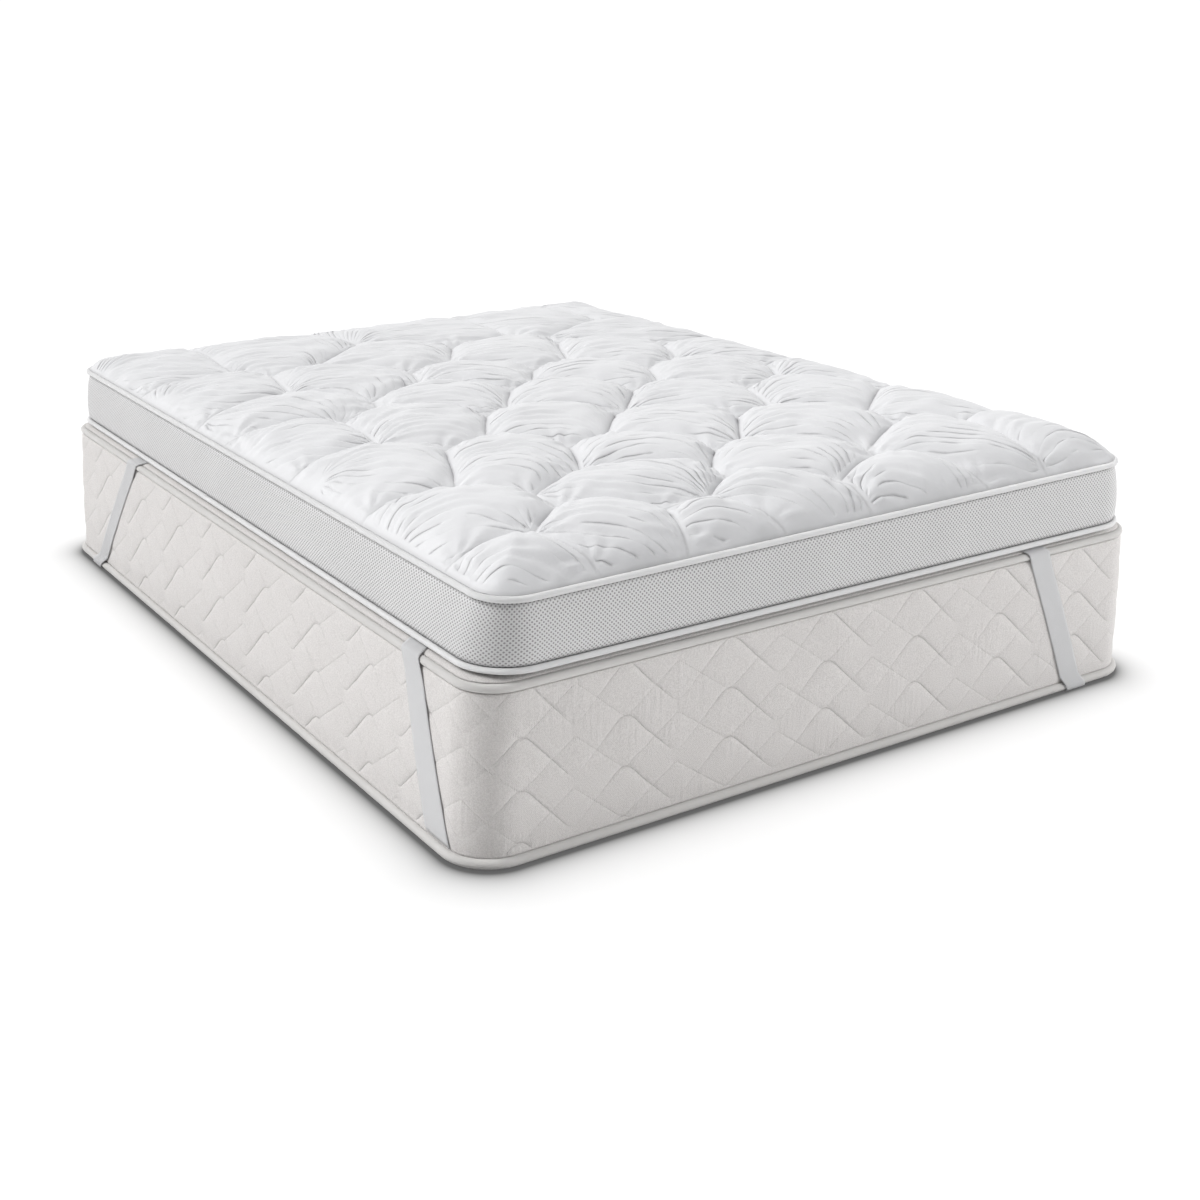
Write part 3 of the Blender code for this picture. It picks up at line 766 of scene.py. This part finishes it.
def topper_ring(distance, offset, z, share=None, up=0.0):
    """Points round the topper at an offset out from its seam line."""
    if share is None:
        share = min(max((z - BAND_LOW) / (BAND_HIGH - BAND_LOW), 0.0), 1.0)
    x, y, out_x, out_y = around(distance, *seam_path(share, 0.0))
    x = x + offset * out_x
    y = y + offset * out_y
    return np.stack([x - TOP_SHIFT * share, y, z + topper_lift(x, y) * share + up], axis=-1)


def cloud(x, y, wave, seed):
    """Smooth noise from -1 to 1, with lumps about a wave across."""
    dice = np.random.default_rng(seed)
    table = dice.uniform(-1.0, 1.0, (128, 128))
    column, row = x / wave + 64.0, y / wave + 64.0
    left, low = np.floor(column).astype(int), np.floor(row).astype(int)
    share_x, share_y = column - left, row - low
    share_x = share_x * share_x * (3 - 2 * share_x)
    share_y = share_y * share_y * (3 - 2 * share_y)
    pick = lambda a, b: table[np.mod(low + b, 128), np.mod(left + a, 128)]
    lower = pick(0, 0) + (pick(1, 0) - pick(0, 0)) * share_x
    upper = pick(0, 1) + (pick(1, 1) - pick(0, 1)) * share_x
    return lower + (upper - lower) * share_y


def square_to_plan(steps, corner_steps):
    """Places along one axis: side, share of the corner, share of the edge."""
    index = np.arange(2 * corner_steps + steps + 1)
    side = np.where(index <= corner_steps, -1, np.where(index >= corner_steps + steps, 1, 0))
    low = (corner_steps - index) / corner_steps
    high = (index - corner_steps - steps) / corner_steps
    corner = np.where(side < 0, low, np.where(side > 0, high, 0.0))
    edge = np.clip((index - corner_steps) / steps, 0.0, 1.0)
    return side, corner, edge


def panel_grid(half_x, half_y, radius):
    """The panel's points in plan; each corner square is bent onto a quarter disc."""
    across_bed = square_to_plan(PANEL_STEPS_X, PANEL_CORNER_STEPS)
    along_bed = square_to_plan(PANEL_STEPS_Y, PANEL_CORNER_STEPS)
    side_x, corner_x, edge_x = (row[:, None] for row in across_bed)
    side_y, corner_y, edge_y = (row[None, :] for row in along_bed)
    flat_x, flat_y = half_x - radius, half_y - radius
    x = (2 * edge_x - 1) * flat_x + side_x * radius * corner_x * np.sqrt(1 - corner_y ** 2 / 2)
    y = (2 * edge_y - 1) * flat_y + side_y * radius * corner_y * np.sqrt(1 - corner_x ** 2 / 2)
    return x, y


def edge_distance(x, y):
    """Distance in from the top seam."""
    half_x, half_y, radius = seam_path(1.0, 0.0)
    over_x = np.maximum(np.abs(x) - (half_x - radius), 0.0)
    over_y = np.maximum(np.abs(y) - (half_y - radius), 0.0)
    straight = np.minimum(half_x - np.abs(x), half_y - np.abs(y))
    in_corner = (over_x > 0) & (over_y > 0)
    return np.maximum(np.where(in_corner, radius - np.hypot(over_x, over_y), straight), 0.0)


PUFFS = np.array([place for row in PUFF_ROWS for place in row])
PUFFS = PUFFS - (MATTRESS_WIDTH / 2, MATTRESS_LENGTH / 2) + PUFF_SHIFT * np.array(FAR_WAY)


def puff_spread(x, y, puff):
    """How far a point lies from a puff's seed, with its slope. Steps toward the head count for
    more, so that each puff ends in a rounded lobe over the next one."""
    dx, dy = x - PUFFS[puff, 0], y - PUFFS[puff, 1]
    along = dx * FAR_WAY[0] + dy * FAR_WAY[1]
    rest = 1 - PUFF_LEAN ** 2
    root = np.sqrt(rest * (dx ** 2 + dy ** 2) + (PUFF_LEAN * along) ** 2) + 1e-9
    leant = PUFF_LEAN ** 2 * along
    slope_x = ((rest * dx + leant * FAR_WAY[0]) / root + PUFF_LEAN * FAR_WAY[0]) / rest
    slope_y = ((rest * dy + leant * FAR_WAY[1]) / root + PUFF_LEAN * FAR_WAY[1]) / rest
    return (root + PUFF_LEAN * along) / rest, slope_x, slope_y


def nearest_puff(x, y):
    return np.array([puff_spread(x, y, number)[0] for number in range(len(PUFFS))]).argmin(axis=0)


def find_tucks():
    """Where three puffs meet, or two meet at the edge, each with the numbers of its puffs."""
    half_x, half_y, _ = seam_path(1.0, -EDGE_BLEND)
    x = np.arange(-half_x, half_x, TUCK_GRID)[:, None]
    y = np.arange(-half_y, half_y, TUCK_GRID)[None, :]
    owner = nearest_puff(x + 0 * y, y + 0 * x)
    tucks = []

    def add(place, owners):
        for number, (other, others) in enumerate(tucks):
            if np.hypot(*(other - place)) < TUCK_MERGE:
                tucks[number] = (other, others | owners)
                return
        tucks.append((place, owners))

    for i in range(owner.shape[0] - 1):
        for j in range(owner.shape[1] - 1):
            owners = set(owner[i:i + 2, j:j + 2].reshape(-1).tolist())
            on_edge = i == 0 or j == 0 or i == owner.shape[0] - 2 or j == owner.shape[1] - 2
            if len(owners) > 2 or (on_edge and len(owners) == 2):
                add(np.array((x[i, 0] + TUCK_GRID / 2, y[0, j] + TUCK_GRID / 2)), owners)
    return tucks


TUCKS = find_tucks()


def arc_ends():
    """The two tucks that each puff's gathers run between: one on its left, one on its right."""
    along = np.array(FAR_WAY)
    across = np.array((FAR_WAY[1], -FAR_WAY[0]))

    def to_left(offset):
        return -offset @ across - ARC_LOW * (offset @ along)

    def to_right(offset):
        return offset @ across - ARC_LOW * (offset @ along)

    ends = []
    for number, middle in enumerate(PUFFS):
        offsets = [place - middle for place, owners in TUCKS if number in owners]
        offsets = [offset for offset in offsets if np.hypot(*offset) < ARC_REACH]
        left = max(offsets + [-ARC_START * along - ARC_START * across], key=to_left)
        right = max(offsets + [-ARC_START * along + ARC_START * across], key=to_right)
        ends.append((middle + left, middle + right))
    return np.array(ends)


ARC_ENDS = arc_ends()


def gathers(x, y, puff):
    """A point's place among the nested arcs of its puff, along its arc, and the arcs' spacing."""
    left, right = ARC_ENDS[puff, 0], ARC_ENDS[puff, 1]
    left_x, left_y = left[..., 0] - x, left[..., 1] - y
    right_x, right_y = right[..., 0] - x, right[..., 1] - y
    chord = np.hypot(right[..., 0] - left[..., 0], right[..., 1] - left[..., 1])
    turn = np.arctan2(left_x * right_y - left_y * right_x, left_x * right_x + left_y * right_y)
    turn = np.where(np.abs(turn) < ARC_TURN_LEAST, ARC_TURN_LEAST, turn)
    swell = chord / 2 / np.tan(turn / 2)
    reach_left = np.hypot(left_x, left_y) + TUCK_SIZE
    reach_right = np.hypot(right_x, right_y) + TUCK_SIZE
    crowding = chord ** 2 / (4 * reach_left * reach_right * np.sin(turn / 2) ** 2)
    crowding = np.maximum(crowding, CROWDING_LEAST)
    drift = 0.018 * cloud(x, y, 0.13, 11) + 0.007 * cloud(x, y, 0.05, 12)
    rank = (swell + drift) / ARC_STEP + 3.7 * puff
    share = np.arctan2(reach_left - reach_right, chord)
    return rank, share, ARC_STEP / crowding


def tuck_folds(x, y):
    """Short folds that fan out of each tuck."""
    total = np.zeros_like(x)
    for number, (place, _) in enumerate(TUCKS):
        away_x, away_y = x - place[0], y - place[1]
        reach = np.hypot(away_x, away_y)
        angle = np.arctan2(away_y, away_x) + 5.0 * reach * (1 if number % 2 else -1)
        fold = np.cos(TUCK_FOLDS * angle + number)
        fold += 0.6 * np.cos((TUCK_FOLDS + 3) * angle + 2.3 * number)
        total += fold * reach / TUCK_FOLDS * TUCK_DEPTH * np.exp(-(reach / TUCK_REACH) ** 1.5)
        total -= TUCK_PIT * np.exp(-(reach / 0.014) ** 2)
    return total


def seam_gap(x, y):
    """Nearest puff, height share of its dome, distance from its seam, and the way to the seam."""
    spread = [puff_spread(x, y, number) for number in range(len(PUFFS))]
    reach = np.array([one[0] for one in spread])
    puff = reach.argmin(axis=0)

    def own(part):
        """One number of the spread, for the puff that each point lies in."""
        parts = np.array([one[part] for one in spread])
        return np.take_along_axis(parts, puff[None], axis=0)[0]

    own_reach, own_x, own_y = own(0), own(1), own(2)
    dome = np.ones_like(x)
    gap = np.full_like(x, 1.0)
    way_x, way_y = np.zeros_like(x), np.zeros_like(x)
    for number in range(len(PUFFS)):
        turn_x, turn_y = spread[number][1] - own_x, spread[number][2] - own_y
        steep = np.maximum(np.hypot(turn_x, turn_y), 0.3)
        clear = np.where(puff == number, 1.0, (reach[number] - own_reach) / steep)
        off_x, off_y = PUFFS[number, 0] - PUFFS[puff, 0], PUFFS[number, 1] - PUFFS[puff, 1]
        ahead = off_x * FAR_WAY[0] + off_y * FAR_WAY[1]
        apart = np.hypot(off_x, off_y) + 1e-9
        run = PUFF_NEAR_RUN + (PUFF_FAR_RUN - PUFF_NEAR_RUN) * (0.5 + 0.5 * ahead / apart)
        dome *= 1 - np.exp(-clear / run)
        nearer = clear < gap
        gap = np.where(nearer, clear, gap)
        way_x = np.where(nearer, -turn_x / steep, way_x)
        way_y = np.where(nearer, -turn_y / steep, way_y)
    return puff, dome, gap, way_x, way_y


def bent(x, y):
    """Plan positions as the puffs see them: the seams wander a little."""
    wander_x, wander_y = (SEAM_WANDER * cloud(x, y, 0.14, seed) for seed in (1, 2))
    return x - TOP_SHIFT + wander_x, y + wander_y


def panel_rise(x, y, edge):
    """Height of the quilted panel over its top seam, with the numbers its cloth reads."""
    bent_x, bent_y = bent(x, y)
    puff, dome, gap, _, _ = seam_gap(bent_x, bent_y)
    dome = dome * (1 - np.exp(-edge / PUFF_EDGE_RUN))
    half_x, half_y, _ = seam_path(1.0, 0.0)
    off_corner = np.hypot(half_x - np.abs(x), half_y + y)
    dip = 1 - CORNER_DIP * np.exp(-(off_corner / CORNER_DIP_RUN) ** 2)
    crown = CROWN_RISE * dip * (1 - np.exp(-edge / CROWN_RUN))
    rank, share, step = gathers(bent_x, bent_y, puff)
    crease = np.round(rank)
    strength = cloud(crease * 0.37 + share * 0.45, crease * 0.11 + share * 0.2, 0.31, 21)
    strength = strength * 0.8 + 0.35 - 0.25 * share
    off_line = np.minimum(gap, edge)
    seen = np.clip((step - 0.010) / 0.008, 0.0, 1.0) * np.clip(off_line / 0.014, 0.0, 1.0)
    arcs = ARC_DEPTH * ((np.abs(rank - crease) * 2) ** 0.7 - 1) * np.clip(strength, 0.0, 1.0) * seen
    lumps = LUMP_RISE * (cloud(x, y, 0.065, 3) + 0.4 * cloud(x, y, 0.032, 4))
    lumps = lumps * np.clip(gap / LUMP_EDGE_RUN, 0.0, 1.0)
    folds = tuck_folds(bent_x, bent_y)
    edge_run = np.where(np.abs(x) / (MATTRESS_WIDTH / 2) > np.abs(y) / (MATTRESS_LENGTH / 2), y, x)
    puckers = cloud(edge_run, 0.2 * edge, 0.015, 5) * 0.0026 * np.exp(-edge / 0.035)
    taper = 1 - FILL_TAPER * y / MATTRESS_LENGTH
    rise = (crown + PUFF_RISE * dome) * taper
    rise = rise + (lumps + folds + puckers + arcs) * np.clip(edge / EDGE_BLEND, 0.0, 1.0)
    return rise, {"rank": rank, "share": share, "step": step, "gap": off_line}


def beside_seams(puff, gap, way_x, way_y):
    """The grid points to move onto a seam: wherever a grid line crosses one, the nearer of the two
    points beside it. A seam is met along the grid lines that it crosses the more squarely."""
    chosen = np.zeros(gap.shape, bool)
    steep_x, steep_y = np.abs(way_x) + 1e-6, np.abs(way_y) + 1e-6
    for here, owner, reach, along, across in (
        (chosen, puff, gap / steep_x, steep_x, steep_y),
        (chosen.T, puff.T, (gap / steep_y).T, steep_y.T, steep_x.T),
    ):
        crossed = (owner[:-1] != owner[1:]) & (along[:-1] + along[1:] >= across[:-1] + across[1:])
        first = reach[:-1] <= reach[1:]
        here[:-1] |= crossed & first
        here[1:] |= crossed & ~first
    return chosen & (gap < SNAP_REACH)


def panel_finish():
    """Smooth white microfibre: thin creases in the gathers and a fine crumple, with shade painted into
    the creases and along the seams.
    """
    finish = Finish("quilted_panel", 0.55, sheen=0.2)
    rank, share, step, gap = (finish.kept(name) for name in ("rank", "share", "step", "gap"))
    number = (rank + finish.noise(9.0) * 0.5).math("ROUND")
    patch = finish.noise(1.0, 2.0, vector=finish.spot(number * 3.7, share * 2.2)).clip(0.36, 0.60)
    off_line = (rank + finish.noise(9.0) * 0.5).off_whole() * step
    near_tuck = step.clip(0.004, 0.011) * gap.clip(0.0075, 0.0125)
    calm = finish.noise(6.0, 1.0).clip(0.38, 0.58)
    line = off_line.fading(0.0028) * patch * near_tuck * calm
    crumple = finish.noise(26.0, 3.0)
    height = line * -CREASE_DEPTH + crumple * CRUMPLE_DEPTH
    cloth = finish.mixed(finish.noise(3.0, 2.0), *PANEL_SHADES)
    near_seam, wide_seam = ((1.0 - gap.clip(0.0, run)) * share for run, share in (NEAR_SEAM, WIDE_SEAM))
    # Painted shade: the cloth darkens in the gathers' creases and close to the seams
    painted_shade = line.clip(0.3, 1.2) * CREASE_SHADE + (near_seam + wide_seam)
    colour = finish.mixed(painted_shade, cloth, PANEL_CREASE_SHADE)
    return finish.done(colour, height, 1.0)


panel_offset = PIPING_PROUD - (PIPING_TOP_RADIUS + PANEL_TUCK) * math.cos(math.radians(PANEL_START_DEG))
grid_x, grid_y = panel_grid(*seam_path(1.0, panel_offset))
puff, _, gap, way_x, way_y = seam_gap(*bent(grid_x, grid_y))
on_seam = beside_seams(puff, gap, way_x, way_y) & (edge_distance(grid_x, grid_y) > EDGE_BLEND)
pull = np.where(on_seam, gap, 0.0)
grid_x, grid_y = grid_x + way_x * pull, grid_y + way_y * pull
rise, kept = panel_rise(grid_x, grid_y, edge_distance(grid_x, grid_y))
grid_z = PIPING_TOP_Z + PANEL_LIP + rise + topper_lift(grid_x, grid_y)
panel_points = np.stack([grid_x - TOP_SHIFT, grid_y, grid_z], axis=-1)
count_x, count_y = grid_x.shape
index = np.arange(count_x * count_y).reshape(count_x, count_y)
quad_corners = (index[:-1, :-1], index[1:, :-1], index[1:, 1:], index[:-1, 1:])
quads = np.stack(quad_corners, axis=-1).reshape(-1, 4)
snapped = on_seam.reshape(-1)
faces = []
for a, b, c, d in quads.tolist():
    if snapped[a] and snapped[c]:
        faces += [(a, b, c), (a, c, d)]
    elif snapped[b] and snapped[d]:
        faces += [(b, c, d), (b, d, a)]
    else:
        faces.append((a, b, c, d))
border = np.concatenate([index[:-1, 0], index[-1, :-1], index[:0:-1, -1], index[0, :0:-1]])
band_z = [BAND_LOW + (BAND_HIGH - BAND_LOW) * s for s in (0.88, 0.65, 0.35, 0.12)]
inner_offset = PIPING_PROUD - PIPING_TOP_RADIUS - PIPING_GAP
pad_side = [(inner_offset, PIPING_TOP_Z), (inner_offset, PIPING_TOP_Z - PIPING_TOP_RADIUS)]
for z in band_z:
    bulge = BAND_BULGE * math.sqrt(math.sin(math.pi * (z - BAND_LOW) / (BAND_HIGH - BAND_LOW)))
    pad_side.append((bulge - BAND_THICKNESS - BAND_GAP, z))
low_offset = PIPING_PROUD - PIPING_BOTTOM_RADIUS - PIPING_GAP
pad_side += [(low_offset, PIPING_BOTTOM_Z + PIPING_BOTTOM_RADIUS), (low_offset, TOPPER_BOTTOM)]


def path_point(points, out_share_offset, z):
    """Moves the panel's border points out or in to a lower ring of the pad."""
    share = min(max((z - BAND_LOW) / (BAND_HIGH - BAND_LOW), 0.0), 1.0)
    top_x, top_y, top_r = seam_path(1.0, panel_offset)
    low_x, low_y, low_r = seam_path(share, out_share_offset)
    x, y = points[:, 0] + TOP_SHIFT, points[:, 1]
    core_x = np.clip(x, -(top_x - top_r), top_x - top_r)
    core_y = np.clip(y, -(top_y - top_r), top_y - top_r)
    new_x = core_x * (low_x - low_r) / (top_x - top_r) + (x - core_x) * low_r / top_r
    new_y = core_y * (low_y - low_r) / (top_y - top_r) + (y - core_y) * low_r / top_r
    new_z = z + topper_lift(new_x, new_y) * share
    return np.stack([new_x - TOP_SHIFT * share, new_y, new_z], axis=-1)


edge_points = panel_points.reshape(-1, 3)[border]
pad_points = [panel_points.reshape(-1, 3)]
above = border
for offset, z in pad_side:
    pad_points.append(path_point(edge_points, offset, z))
    below = np.arange(len(border)) + sum(len(p) for p in pad_points[:-1])
    ring = np.stack([above, below, np.roll(below, -1), np.roll(above, -1)], axis=-1)
    faces += ring.tolist()
    above = below
faces.append(above.tolist())
pad_mesh = bpy.data.meshes.new("quilted_pad")
pad_mesh.from_pydata(np.concatenate(pad_points).tolist(), [], faces)
for name, values in kept.items():
    layer = pad_mesh.attributes.new(name, "FLOAT", "POINT")
    full = np.zeros(len(pad_mesh.vertices))
    full[:values.size] = values.reshape(-1)
    layer.data.foreach_set("value", full)
pad = in_scene("quilted_pad", pad_mesh)
pad_mesh.set_sharp_from_angle(angle=math.radians(SHARP_DEG))
pad_mesh.materials.append(panel_finish())
# The stronger soft box lights the sides of the bed and not its top
unlit = bpy.data.collections["fill_light_unlit"]
unlit.objects.link(pad)
unlit.collection_objects[1].light_linking.link_state = "EXCLUDE"
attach(pad, "root")
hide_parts("topper_pad")


# ---------------------------------------------------------------- side mesh band
# A strip of light grey spacer mesh sewn round the pad, with rows of small holes set in
# diamonds. It stands out a little between its two seams.

BAND_COLUMNS = 900
BAND_ROWS = 14
BAND_EASE = 0.0004
HOLE_ALONG = 0.0088
HOLE_UP = 0.0078
THREAD_SHADES = ((0.620, 0.616, 0.620), (0.680, 0.676, 0.680))
HOLE_PAINTED_SHADE = (0.32, 0.315, 0.315)


def mesh_finish():
    """Spacer mesh: white threads round small dark holes in a diamond grid, the holes' darkness painted
    in for the shade inside them.
    """
    finish = Finish("side_mesh", 0.75, sheen=0.1)
    along, up = finish.along_cloth()
    one = (along * (math.pi / HOLE_ALONG) + up * (math.pi / HOLE_UP)).sine().size()
    two = (along * (math.pi / HOLE_ALONG) - up * (math.pi / HOLE_UP)).sine().size()
    hole = (one * two).clip(0.45, 0.80)
    threads = finish.mixed(finish.noise(6.0, 2.0), *THREAD_SHADES)
    # Painted shade: the holes are coloured dark for the shadow inside them
    colour = finish.mixed(hole, threads, HOLE_PAINTED_SHADE)
    return finish.done(colour, (1.0 - hole) * 0.8 + finish.noise(500.0) * 0.15, 0.0009)


band_distance = np.linspace(0.0, ROUND_LENGTH, BAND_COLUMNS, endpoint=False)
band_map = np.append(band_distance, ROUND_LENGTH)
band_shares = np.linspace(0.0, 1.0, BAND_ROWS)
sway = ripple(band_distance, 31, 0.0006, (8, 60))
outer, inner = [], []
for level in band_shares:
    z = BAND_LOW + (BAND_HIGH - BAND_LOW) * level
    bow = math.sin(math.pi * level)
    bulge = BAND_BULGE * math.sqrt(max(bow, 0.0)) + sway * bow
    outer.append(topper_ring(band_distance, bulge, z))
    inner.append(topper_ring(band_distance, bulge - BAND_THICKNESS + BAND_EASE, z))
band_rows = outer + inner[::-1]
band_up = (BAND_HIGH - BAND_LOW) * np.concatenate([band_shares, band_shares[::-1], [0.0]])
band = loft("side_band", band_rows, band_up, band_map, hoop=True)
band.data.materials.append(mesh_finish())
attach(band, "root")
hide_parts("topper_band")


# ---------------------------------------------------------------- pipings
# A cord covered in white cloth, sewn into the band's upper and lower seams.

PIPING_SIDES = 14
PIPING_COLUMNS = 1100
PIPING_SHADES = ((0.765, 0.764, 0.766), (0.825, 0.825, 0.828))


def piping_finish():
    """White cloth drawn tight round a cord, with a fine slanted grain."""
    finish = Finish("white_piping", 0.6, sheen=0.15)
    along, across = finish.along_cloth()
    grain = ((along - across * 0.8) * 3100.0).sine()
    colour = finish.mixed(finish.noise(14.0, 3.0), *PIPING_SHADES)
    return finish.done(colour, grain * 0.35 + finish.noise(120.0, 3.0) * 0.9, 0.0007)


piping_cloth = piping_finish()
piping_distance = np.linspace(0.0, ROUND_LENGTH, PIPING_COLUMNS, endpoint=False)
piping_map = np.append(piping_distance, ROUND_LENGTH)
PIPINGS = (
    ("topper_piping_bottom", PIPING_BOTTOM_RADIUS, PIPING_BOTTOM_Z, 0.0, 41),
    ("topper_piping_top", PIPING_TOP_RADIUS, PIPING_TOP_Z, 1.0, 42),
)
for node, radius, z, level, seed in PIPINGS:
    piping_rows = []
    pinch = np.abs(ripple(piping_distance, seed, 0.00022, (60, 260)))
    for k in range(PIPING_SIDES):
        angle = 2 * math.pi * k / PIPING_SIDES
        reach = radius - pinch
        out, up = PIPING_PROUD + reach * math.cos(angle), reach * math.sin(angle)
        piping_rows.append(topper_ring(piping_distance, out, z, share=level, up=up))
    piping_across = 2 * math.pi * radius * np.arange(PIPING_SIDES + 1) / PIPING_SIDES
    own_name = node.replace("topper_piping", "piping")
    piping = loft(own_name, piping_rows, piping_across, piping_map, hoop=True)
    piping.data.materials.append(piping_cloth)
    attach(piping, "root")
    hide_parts(node)


# ---------------------------------------------------------------- corner straps
# Flat elastic webbing sewn under the topper's corners. Three straps pass under their corners
# of the mattress; the one at the foot's left corner ends in the seam over the lower tape.

STRAP_WIDTH = 0.056
STRAP_THICKNESS = 0.0015
STRAP_CLEARANCE = 0.0006
STRAP_SHOULDER = ((0.056, 0.3301), (0.037, 0.3288), (0.024, 0.3262))
STRAP_ROUND_TOP_TAPE = ((-0.0005, 0.0110), (0.0055, 0.0090), (0.00935, 0.0045), (0.00935, -0.0045))
STRAP_ROUND_BOTTOM_TAPE = ((0.01035, 0.0065), (0.01035, -0.0040), (0.00815, -0.0082))
STRAP_UNDER_TAPE_INSET = -0.004
STRAP_END_INSET = 0.020
STRAP_FLOOR_REACH = 0.165
# The strap that ends in the seam: its reach from the corner at the top and below, its width below
SEAMED_STRAP = (0.237, 0.112, 0.080)
SEAMED_STRAP_END = (0.003, 0.0236)
# Loops: the corner, then the reach at the top along the foot or head and along the side
STRAP_LOOPS = (
    ("strap_foot_right", (1, -1), 0.3435, 0.335),
    ("strap_head_left", (-1, 1), 0.335, 0.490),
    ("strap_head_right", (1, 1), 0.335, 0.335),
)
STRAP_COLUMNS = 13
STRAP_SIDE_LEVELS = np.linspace(0.280, 0.032, 26)
ELASTIC_SHADES = ((0.620, 0.620, 0.628), (0.670, 0.671, 0.680))


def strap_profile(leg_end):
    """(inset, z) down a strap's middle surface, from the topper to the floor or the lower seam."""
    off = STRAP_CLEARANCE + STRAP_THICKNESS / 2
    points = list(STRAP_SHOULDER)
    points += [(TAPE_TOP_INSET - out, TAPE_TOP_Z + up) for out, up in STRAP_ROUND_TOP_TAPE]
    points += [(float(side_inset(z)) - off, z) for z in STRAP_SIDE_LEVELS]
    if leg_end == "seam":
        return np.array(points + [SEAMED_STRAP_END])
    points += [(TAPE_BOTTOM_INSET - out, TAPE_BOTTOM_Z + up) for out, up in STRAP_ROUND_BOTTOM_TAPE]
    under = HEM_LIFT - off
    return np.array(points + [(STRAP_UNDER_TAPE_INSET, under), (STRAP_END_INSET, under)])


def strap_leg(corner, face, leg_end, top_reach, end_reach, end_width):
    """Rows of points across one leg: its outer face, then its inner face back."""
    points = strap_profile(leg_end)
    step = np.gradient(points, axis=0)
    step /= np.linalg.norm(step, axis=1)[:, None]
    outward = np.stack([step[:, 1], -step[:, 0]], axis=1)
    run = np.concatenate([[0.0], np.cumsum(np.linalg.norm(np.diff(points, axis=0), axis=1))])
    rows = []
    across = np.linspace(-0.5, 0.5, STRAP_COLUMNS)
    for place, out, done in zip(points, outward, run / run[-1]):
        reach = top_reach + (end_reach - top_reach) * done
        width = STRAP_WIDTH + (end_width - STRAP_WIDTH) * done
        half = STRAP_THICKNESS / 2 * (1 - 0.55 * np.abs(across * 2) ** 8)
        row = []
        for sign, order in ((1, 1), (-1, -1)):
            inset = (place[0] + sign * half * out[0])[::order]
            z = (place[1] + sign * half * out[1])[::order]
            along = (reach + across * width)[::order]
            lean = LONG_SIDE_LEAN * np.clip(side_share(z), 0.0, 1.0)
            if face == "x":
                x = corner[0] * (MATTRESS_WIDTH / 2 - inset - lean)
                y = corner[1] * (MATTRESS_LENGTH / 2 - along)
            else:
                x = corner[0] * (MATTRESS_WIDTH / 2 - along)
                y = corner[1] * (MATTRESS_LENGTH / 2 - inset)
            row.append(np.stack([x, y, z], axis=-1))
        rows.append(np.concatenate(row))
    return rows


def elastic_finish():
    """Cool grey-white elastic webbing: fine ribs along it and a close cross weave."""
    finish = Finish("elastic", 0.6, sheen=0.1)
    across, along = finish.along_cloth()
    ribs = (across * 3900.0).sine()
    weave = (along * 2600.0).sine()
    colour = finish.mixed(finish.noise(12.0, 2.0), *ELASTIC_SHADES)
    return finish.done(colour, ribs * 0.5 + weave * 0.25 + finish.noise(300.0) * 0.4, 0.0005)


elastic = elastic_finish()


def make_strap(name, rows):
    """A strap: a thin closed strip through its rows."""
    rows = np.array(rows)
    middle = rows.mean(axis=1)
    run = np.concatenate([[0.0], np.cumsum(np.linalg.norm(np.diff(middle, axis=0), axis=1))])
    face = np.linspace(0, STRAP_WIDTH, STRAP_COLUMNS)
    round_it = np.concatenate([face, face[::-1], [0]])
    strap = loft(name.replace("strap", "elastic_strap"), rows, run, round_it, caps=True)
    strap.data.materials.append(elastic)
    width = np.linalg.norm(rows[:, STRAP_COLUMNS - 1] - rows[:, 0], axis=1).mean()
    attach(strap, "root")
    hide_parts(name)


make_strap("strap_foot_left", strap_leg((-1, -1), "x", "seam", *SEAMED_STRAP))
for name, corner, short_reach, long_reach in STRAP_LOOPS:
    down = strap_leg(corner, "y", "floor", short_reach, STRAP_FLOOR_REACH, STRAP_WIDTH)
    up = strap_leg(corner, "x", "floor", long_reach, STRAP_FLOOR_REACH, STRAP_WIDTH)[::-1]
    make_strap(name, down + up)
